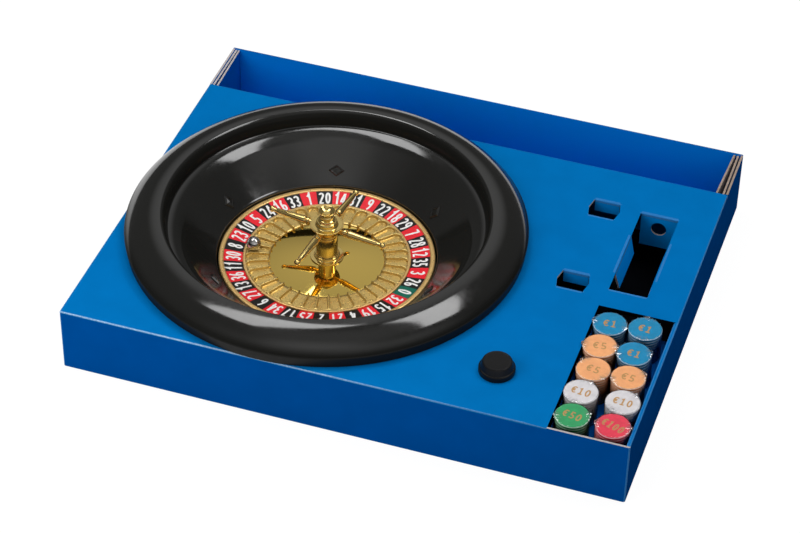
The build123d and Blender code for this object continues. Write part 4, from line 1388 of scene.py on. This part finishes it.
# ------------------------------------------------------------------ turret
class ROULETTE_OT_turret(bpy.types.Operator):
    """Makes the turned turret on the wheel's axis, piece by piece, and its four arms"""

    bl_idname = "roulette.turret"
    bl_label = "Turret"

    def execute(self, context):
        gold = gold_plating("turret gold", (1.0, 1.03, 1.25), 0.12, 0.000003, 0.95)
        arms, first_arm = 4, 81.6
        base, base_top = low("turret_base")[2], high("turret_base")[2]
        column = base_top + 17.3
        finial = column + 13.0
        cup = finial + 2.6
        spigot = base_top - 1.0
        foot = [(0, base), (12.0, base), (12.0, base + 1.0), (9.3, base + 1.05)]
        foot += [(8.9, base + 1.4), (8.9, base + 2.8), (8.3, base + 2.9)]
        foot += [(8.3, base_top), (0, base_top)]
        post = [(0, spigot), (1.5, spigot), (1.5, base_top), (7.7, base_top)]
        post += [(7.7, column - 1.9), (7.1, column - 1.8), (7.1, column - 1.2)]
        post += [(7.7, column - 1.1), (7.7, column), (0, column)]
        hub = [(0, 0), (6.3, 0), (6.9, 2.0), (8.4, 3.9), (10.5, 5.6), (11.9, 6.5), (11.9, 7.4)]
        hub += [(10.5, 7.1), (8.0, 7.1), (7.4, 8.0), (7.4, 10.2), (6.8, 10.8), (6.0, 10.8)]
        hub += [(6.0, 12.4), (4.8, 13.0), (0, 13.0)]
        knob = [(4.35, 0.7), (4.9, 1.7), (5.6, 2.8), (6.1, 3.8), (5.5, 3.8), (4.2, 2.65)]
        knob = [(radius, cup + height) for radius, height in knob + [(2.4, 1.75), (0, 1.4)]]
        knob = [(0, finial), (4.8, finial), (4.8, cup - 0.6), (4.2, cup)] + knob
        shapes = (
            ("turret_base", foot, 0.18),
            ("turret_column", post, 0.16),
            ("turret_hub", [(radius, column + height) for radius, height in hub], 0.35),
            ("turret_finial", knob, 0.3),
        )
        for node, profile, edge in shapes:
            line = eased(profile, edge, 4, closed=False)
            mesh = mesh_of(f"{node}_turned", *turned(line, 128, origin=WHEEL, closed=False))
            add_piece(mesh, (gold,), "rotor", (node,), crease=30)
        # an arm from its socket outwards: rod, two collars, taper, neck and the ball at its tip
        arm = [(0, 6.6), (1.8, 6.6), (1.8, 13.9), (2.75, 14.0), (2.75, 15.6), (1.85, 15.7)]
        arm += [(1.85, 16.3), (2.75, 16.4), (2.95, 18.0), (2.6, 24.0), (1.9, 39.4)]
        arm += [(1.5, 39.7), (1.5, 42.1)]
        arm = np.concatenate([arm, arc((0, 43.8), 2.2, -43, 90, 14)])
        arm[-1, 0] = 0
        line = eased(arm, 0.16, 3, closed=False)
        origin = WHEEL + (0, 0, column + 4.5)
        for index in range(arms):
            node = f"turret_arm_{index + 1}"
            angle = math.radians(first_arm + 90 * index)
            out = (math.cos(angle), math.sin(angle), 0)
            shape = turned(line, 48, origin=origin, axis=out, closed=False)
            mesh = mesh_of(f"{node}_turned", *shape)
            add_piece(mesh, (gold,), "rotor", (node,), crease=30)
        return {"FINISHED"}


class ROULETTE_OT_spindle(bpy.types.Operator):
    """Gives the hidden spindle its finishes: steel pin, washer and nut, and the rotor's bush"""

    bl_idname = "roulette.spindle"
    bl_label = "Spindle"

    def execute(self, context):
        steel = polished_steel("spindle steel", 0.3)
        finishes = dict.fromkeys(("spindle_pin", "spindle_washer", "spindle_nut"), steel)
        finishes["rotor_bush"] = bush_plastic()
        for node, material in finishes.items():
            mesh = frame["nodes"][node].data
            mesh.materials.clear()
            mesh.materials.append(material)
        return {"FINISHED"}


# ------------------------------------------------------------------ loose pieces
class ROULETTE_OT_ball(bpy.types.Operator):
    """Makes the steel ball that lies in the wheel"""

    bl_idname = "roulette.ball"
    bl_label = "Ball"

    def execute(self, context):
        radius = (high("ball")[2] - low("ball")[2]) / 2
        half_circle = arc((0, 0), radius, -90, 90, 49)
        half_circle[[0, -1], 0] = 0
        shape = turned(half_circle, 96, origin=middle("ball"), closed=False)
        mesh = mesh_of("steel_ball", *shape)
        add_piece(mesh, (polished_steel("ball steel", 0.16),), "loose_ball", ("ball",))
        return {"FINISHED"}


class ROULETTE_OT_marker(bpy.types.Operator):
    """Makes the winning-number marker, a stepped black cap"""

    bl_idname = "roulette.marker"
    bl_label = "Marker"

    def execute(self, context):
        foot = middle("marker") * (1, 1, 0) + UP * low("marker")[2]
        profile = [(0, 0), (12.0, 0), (12.45, 0.35), (12.45, 3.9), (11.9, 4.5), (11.45, 4.55)]
        profile += [(10.15, 8.8), (9.55, 9.35), (9.0, 9.4), (8.4, 9.28), (0, 9.28)]
        line = eased(profile, 0.3, 4, closed=False)
        mesh = mesh_of("marker_cap", *turned(line, 128, origin=foot, closed=False))
        materials = (marker_plastic(),)
        add_piece(mesh, materials, "loose_marker", ("marker",), crease=30)
        return {"FINISHED"}


class ChipStackSettings(bpy.types.PropertyGroup):
    print_colour: colour_setting(
        name="Numeral colour",
        description="Colour of the stamped numerals",
        default=(0.62, 0.36, 0.13),
    )
    film_gap: FloatProperty(
        name="Film gap",
        description="How far the shrink film stands off the chips",
        unit="LENGTH",
        min=0.00005,
        max=0.0006,
        default=0.0002,
    )
    facets: IntProperty(
        name="Facets",
        description="Sides of each chip",
        min=24,
        max=128,
        default=72,
    )


CHIPS, CHIP_RADIUS = 10, 11.7
CHIP_KINDS = {
    "green": ((0.04, 0.45, 0.17), "50"),
    "white": ((0.8, 0.78, 0.8), "10"),
    "orange": ((1.0, 0.52, 0.24), "5"),
    "blue": ((0.0, 0.32, 0.58), "1"),
    "red": ((0.88, 0.06, 0.12), "100"),
}
# colour, then the turn of the print and of the film's seam in degrees
CHIP_STACKS = (
    ("green", -12, 20),
    ("white", -6, 75),
    ("orange", -10, 140),
    ("orange", 8, 10),
    ("blue", 4, 178),
    ("red", -20, 5),
    ("white", -4, 60),
    ("orange", -6, 30),
    ("blue", -4, 200),
    ("blue", -6, 95),
)
# the width of one numeral on a chip, by how many stand beside the sign, and its other sizes
NUMERAL_WIDTHS = {1: 4.0, 2: 3.6, 3: 3.1}
NUMERAL_SIZE = {"height": 6.6, "gap": 1.1, "weight": 1.05, "thickness": 0.02}
# shares of the radius at which the film's top has its rows
CAP_ROWS = (0.0, 0.35, 0.5, 0.58, 0.65, 0.71, 0.77, 0.82, 0.87, 0.91, 0.95, 0.98, 1.0)


class ROULETTE_OT_chip_stacks(bpy.types.Operator):
    """Makes ten stacks of ten chips, their stamped numerals and their shrink film"""

    bl_idname = "roulette.chip_stacks"
    bl_label = "Chip stacks"

    def film(self, name, layers, top, seam):
        """A skin round a stack: P = centre + (r + ripple) (cos a, sin a). The ripple is a sum
        of two waves that fade in at the shoulder. At the seam's two ends the film stands out
        in ears, |cos(a - seam)| ** 40, and gathers in folds, a wave round the stack under the
        window |cos(a - seam)| ** 7."""
        gap = bpy.context.scene.chip_stacks.film_gap / MM
        first, last = layers[0], layers[-1]
        base, steps, side_rows = first[2], 216, 28

        def window(turn, power):
            return np.abs(np.cos(turn - math.radians(seam))) ** power

        def waves(turn):
            return 0.5 + 0.5 * np.cos(19 * turn + seam) * np.cos(8 * turn)

        def near_edge(share):
            return np.clip((share - 0.5) / 0.35, 0, 1) ** 2

        turn = np.arange(steps) * 2 * np.pi / steps
        cap = np.array(CAP_ROWS)
        drop = 0.25 - 0.4 * np.clip((cap - 0.9) / 0.1, 0, 1) ** 2
        sides = np.linspace(top - 0.6, base + 0.6, side_rows)
        share = np.concatenate([cap, np.ones(side_rows), [0.985, 0.9, 0.0]])
        height = np.concatenate([top + drop, sides, [base + 0.2, base + 0.05, base + 0.05]])
        shoulder = (np.exp(-(((height - top) / 1.1) ** 2)) * (share > 0.5))[:, None]
        ripple = 0.10 * np.sin(17 * turn + seam) + 0.07 * np.sin(29 * turn + 2.3 * seam)
        ears = window(turn, 40)
        reach = near_edge(share) * (height > top - 1.5)
        offset = gap + shoulder * (ripple * 0.9 + 0.9 * ears)[None]
        r = share[:, None] * (CHIP_RADIUS + offset)
        lift = shoulder * (0.5 * ears + 0.25 * ripple)[None] * (share[:, None] ** 2)
        lift = lift + 0.38 * reach[:, None] * (window(turn, 7) * waves(turn))[None]
        up_stack = np.clip((height - base) / (top - base), 0, 1)[:, None]
        cx, cy = (first[axis] + (last[axis] - first[axis]) * up_stack for axis in (0, 1))
        around = [cx + r * np.cos(turn), cy + r * np.sin(turn), height[:, None] + lift]
        points = np.stack(around, -1).reshape(-1, 3)
        mesh = mesh_of(name, points, [grid_faces(len(height), steps, False, True)])
        # how far the film is folded on itself, for its finish
        spots = read(mesh.vertices, "co", 3) / MM - last
        turn = np.arctan2(spots[:, 1], spots[:, 0])
        reach = near_edge(np.hypot(spots[:, 0], spots[:, 1]) / CHIP_RADIUS)
        reach = reach * (spots[:, 2] > top - last[2] - 0.9)
        gather = mesh.attributes.new("gather", "FLOAT", "POINT")
        values = 0.5 * reach * window(turn, 7) * waves(turn)
        gather.data.foreach_set("value", values.astype(np.float32))
        return mesh

    def word(self, number, turn, centre):
        """The sign and the number stamped on a stack's top chip, turned anticlockwise about
        its middle."""
        signs = ["euro", *("one" if digit == "1" else digit for digit in number)]
        word, faces = word_ribbons(signs, NUMERAL_WIDTHS[len(number)], **NUMERAL_SIZE)
        cos, sin = math.cos(math.radians(turn)), math.sin(math.radians(turn))
        flat = word[:, :2] @ np.array([(cos, -sin), (sin, cos)]).T
        return np.concatenate([flat, word[:, 2:]], 1) + centre, faces

    def execute(self, context):
        steps = context.scene.chip_stacks.facets
        foil = foil_print()
        edge = CHIP_RADIUS
        for index, (kind, turn, seam) in enumerate(CHIP_STACKS):
            colour, number = CHIP_KINDS[kind]
            label = f"{index + 1:02d}"
            node, body, slot = f"chip_stack_{label}", f"stack_{label}", f"chip_{kind}"
            points = node_points(node)
            base, top = points[:, 2].min(), points[:, 2].max()
            pitch = (top - base) / CHIPS
            layers = []
            for level in range(CHIPS):
                at = base + level * pitch
                layer = points[(points[:, 2] > at - 0.01) & (points[:, 2] < at + pitch - 0.01)]
                centre = (layer[:, :2].min(0) + layer[:, :2].max(0)) / 2
                layers.append(np.array((*centre, at)))
            chip = [(0, 0), (edge - 0.7, 0), (edge - 0.65, 0.25), (edge - 0.02, 0.55)]
            chip += [(edge - 0.02, pitch - 0.75), (edge - 0.45, pitch - 0.05)]
            chip += [(edge - 0.6, pitch), (edge - 1.1, pitch)]
            chip += [(edge - 1.25, pitch - 0.06), (0, pitch - 0.06)]
            line = eased(chip, 0.15, 3, closed=False)
            parts = [turned(line, steps, origin=layer, closed=False) for layer in layers]
            mesh = mesh_of(f"{kind}_chips_{label}", *joined(parts))
            plastic = chip_plastic_painted_sides(f"{kind} chip plastic, painted sides", colour, base, pitch)
            add_piece(mesh, (plastic,), body, (node,), crease=40)
            word = self.word(number, turn, layers[-1] + (0, 0, pitch - 0.05))
            add_piece(mesh_of(f"{kind}_numerals_{label}", *word), (foil,), body)
            film = self.film(f"film_{label}", layers, top, seam)
            add_piece(film, (shrink_film(),), body, crease=60)
        return {"FINISHED"}


# ------------------------------------------------------------------ stage
class StudioSettings(bpy.types.PropertyGroup):
    sky: FloatProperty(
        name="Sky",
        description="Strength of the even light from all round",
        min=0.0,
        max=2.0,
        default=0.1,
    )
    key: FloatProperty(
        name="Softboxes",
        description="Strength of the softboxes",
        min=0.0,
        max=10.0,
        default=1.0,
    )


# azimuth, elevation and half width in degrees, then strength
SKY_GLOWS = (
    (328, 12, 50, 0.7),
    (270, 20, 60, 0.22),
    (282, 48, 30, 0.25),
    (300, 78, 32, 0.2),
    (107, 44, 28, 0.44),
)
# name, azimuth, elevation, distance, size, strength, roll, seen by matt surfaces, by glossy ones
SOFTBOXES = (
    ("softbox back left", 146, 69, 1.4, (0.8, 0.4), 4.2, 4, True, True),
    ("softbox back right", 30, 60, 1.5, (1.0, 0.42), 4.6, 30, True, True),
    ("fill front left", 238, 32, 0.85, (0.7, 0.7), 2.5, 0, True, False),
    ("fill overhead", 40, 85, 1.5, (1.2, 1.2), 1.15, 0, True, False),
)
AIM_HEIGHT = 0.05
FLOOR_HALF = 6.0
SENSOR_WIDTH, LENS = 36.0, 119.12
CAMERA_PLACE = (0.4312, -1.3775, 1.2358)
# azimuth to the right of the front, elevation and roll in degrees
CAMERA_TURN = (17.77, 40.2, 1.16)


def direction(azimuth, elevation):
    """The unit vector towards an azimuth and an elevation in degrees."""
    a, e = math.radians(azimuth), math.radians(elevation)
    return Vector((math.cos(a) * math.cos(e), math.sin(a) * math.cos(e), math.sin(e)))


class ROULETTE_OT_stage(bpy.types.Operator):
    """Sets up the pale floor, the studio light and the camera"""

    bl_idname = "roulette.stage"
    bl_label = "Stage and camera"

    def softbox(self, name, azimuth, elevation, distance, size, strength, roll, matt, glossy):
        """A rectangular lamp that looks at the wheel from an azimuth and an elevation, rolled
        about its line of sight. Its power is strength x area x pi, so strength is how bright
        it looks."""
        lamp = bpy.data.lights.new(name, "AREA")
        lamp.shape = "RECTANGLE"
        lamp.size, lamp.size_y = size
        lamp.energy = strength * size[0] * size[1] * math.pi
        lamp.energy *= bpy.context.scene.studio.key
        box = bpy.data.objects.new(name, lamp)
        away = direction(azimuth, elevation)
        target = Vector(WHEEL) * MM + Vector((0, 0, AIM_HEIGHT))
        facing = away.to_track_quat("Z", "Y").to_matrix().to_4x4()
        facing @= Matrix.Rotation(math.radians(roll), 4, "Z")
        box.matrix_world = Matrix.Translation(target + away * distance) @ facing
        box.visible_diffuse = matt
        box.visible_glossy = glossy
        bpy.context.scene.collection.objects.link(box)

    def glow(self, sky, azimuth, elevation, width, strength):
        """A soft glow in the sky: strength x smoothstep of the angle's cosine, from the cosine
        of the width up to 1."""
        place = add_node(sky, "TexCoord").outputs["Generated"]
        inputs = {0: place, 1: direction(azimuth, elevation)}
        cosine = add_node(sky, "VectorMath", inputs, operation="DOT_PRODUCT").outputs["Value"]
        start = math.cos(math.radians(width))
        return mapped(sky, cosine, start, 1.0, 0.0, strength, interpolation_type="SMOOTHSTEP")

    def floor(self):
        """A wide white floor. Cameras, mirrors and glass see it glow nearly white, and matt
        surfaces get the light of a grey one."""
        half = FLOOR_HALF / MM
        points = np.array(rectangle(-half, half, -half, half, 0))
        mesh = mesh_of("floor", points, [np.array([[0, 1, 2, 3]])])
        if mesh.polygons[0].normal.z < 0:
            mesh.flip_normals()
        floor = bpy.data.objects.new("floor", mesh)
        bpy.context.scene.collection.objects.link(floor)
        material, tree = empty_material("white floor")
        plain = add_node(tree, "BsdfDiffuse", {"Color": (0.35, 0.35, 0.35, 1)})
        bright = add_node(tree, "BsdfDiffuse", {"Color": (0.9, 0.9, 0.9, 1)})
        lit = add_node(tree, "Emission", {"Strength": 1.05})
        inputs = {"Fac": 0.9, 1: bright.outputs["BSDF"], 2: lit.outputs["Emission"]}
        white = add_node(tree, "MixShader", inputs)
        rays = add_node(tree, "LightPath").outputs
        seen = calculated(tree, "MAXIMUM", rays["Is Camera Ray"], rays["Is Glossy Ray"])
        seen = calculated(tree, "MAXIMUM", seen, rays["Is Transmission Ray"])
        inputs = {"Fac": seen, 1: plain.outputs["BSDF"], 2: white.outputs["Shader"]}
        choose = add_node(tree, "MixShader", inputs)
        add_node(tree, "OutputMaterial", {"Surface": choose.outputs["Shader"]})
        mesh.materials.append(material)

    def sky(self):
        """An even, dim sky with soft glows in it."""
        scene = bpy.context.scene
        scene.world = bpy.data.worlds.new("studio")
        scene.world.use_nodes = True
        sky = scene.world.node_tree
        sky.nodes.clear()
        total = scene.studio.sky
        for glow in SKY_GLOWS:
            total = calculated(sky, "ADD", self.glow(sky, *glow), total)
        light = add_node(sky, "Background", {"Strength": total}).outputs["Background"]
        add_node(sky, "OutputWorld", {"Surface": light})

    def camera(self):
        """A long lens, rolled slightly about its line of sight."""
        data = bpy.data.cameras.new("camera")
        data.sensor_width, data.lens = SENSOR_WIDTH, LENS
        data.clip_start, data.clip_end = 0.05, 50.0
        azimuth, elevation, roll = CAMERA_TURN
        forward = -direction(azimuth - 90, elevation)
        roll = math.radians(roll)
        level = forward.cross(Vector((0, 0, 1))).normalized()
        upward = level.cross(forward)
        across = math.cos(roll) * level + math.sin(roll) * upward
        upright = -math.sin(roll) * level + math.cos(roll) * upward
        camera = bpy.data.objects.new("camera", data)
        turn = Matrix((across, upright, -forward)).transposed().to_4x4()
        camera.matrix_world = Matrix.Translation(CAMERA_PLACE) @ turn
        bpy.context.scene.collection.objects.link(camera)
        bpy.context.scene.camera = camera

    def execute(self, context):
        context.scene.view_settings.view_transform = "Standard"
        self.floor()
        self.sky()
        for lamp in SOFTBOXES:
            self.softbox(*lamp)
        self.camera()
        return {"FINISHED"}


class ROULETTE_PT_panel(bpy.types.Panel):
    """Buttons for every piece of the roulette set"""

    bl_label = "Roulette set"
    bl_idname = "ROULETTE_PT_panel"
    bl_space_type = "VIEW_3D"
    bl_region_type = "UI"
    bl_category = "Roulette"

    def draw(self, context):
        layout = self.layout
        scene = context.scene
        for settings in ("board_case", "roulette_wheel", "chip_stacks", "studio"):
            box = layout.box()
            group = getattr(scene, settings)
            for name in group.__annotations__:
                box.prop(group, name)
        for operator in OPERATORS:
            layout.operator(operator.bl_idname)


SETTINGS = {
    "board_case": BoardCaseSettings,
    "roulette_wheel": RouletteWheelSettings,
    "chip_stacks": ChipStackSettings,
    "studio": StudioSettings,
}
OPERATORS = (
    ROULETTE_OT_board_case,
    ROULETTE_OT_hinged_flaps,
    ROULETTE_OT_bowl,
    ROULETTE_OT_rotor,
    ROULETTE_OT_number_ring,
    ROULETTE_OT_turret,
    ROULETTE_OT_spindle,
    ROULETTE_OT_ball,
    ROULETTE_OT_marker,
    ROULETTE_OT_chip_stacks,
    ROULETTE_OT_stage,
)


def register():
    for group in SETTINGS.values():
        bpy.utils.register_class(group)
    for name, group in SETTINGS.items():
        setattr(bpy.types.Scene, name, PointerProperty(type=group))
    for operator in OPERATORS:
        bpy.utils.register_class(operator)
    bpy.utils.register_class(ROULETTE_PT_panel)


def unregister():
    bpy.utils.unregister_class(ROULETTE_PT_panel)
    for operator in reversed(OPERATORS):
        bpy.utils.unregister_class(operator)
    for name in SETTINGS:
        delattr(bpy.types.Scene, name)
    for group in reversed(SETTINGS.values()):
        bpy.utils.unregister_class(group)


def main():
    register()
    bpy.ops.roulette.board_case()
    bpy.ops.roulette.hinged_flaps()
    bpy.ops.roulette.bowl()
    bpy.ops.roulette.rotor()
    bpy.ops.roulette.number_ring()
    bpy.ops.roulette.turret()
    bpy.ops.roulette.spindle()
    bpy.ops.roulette.ball()
    bpy.ops.roulette.marker()
    bpy.ops.roulette.chip_stacks()
    bpy.ops.roulette.stage()


if __name__ == "__main__":
    main()
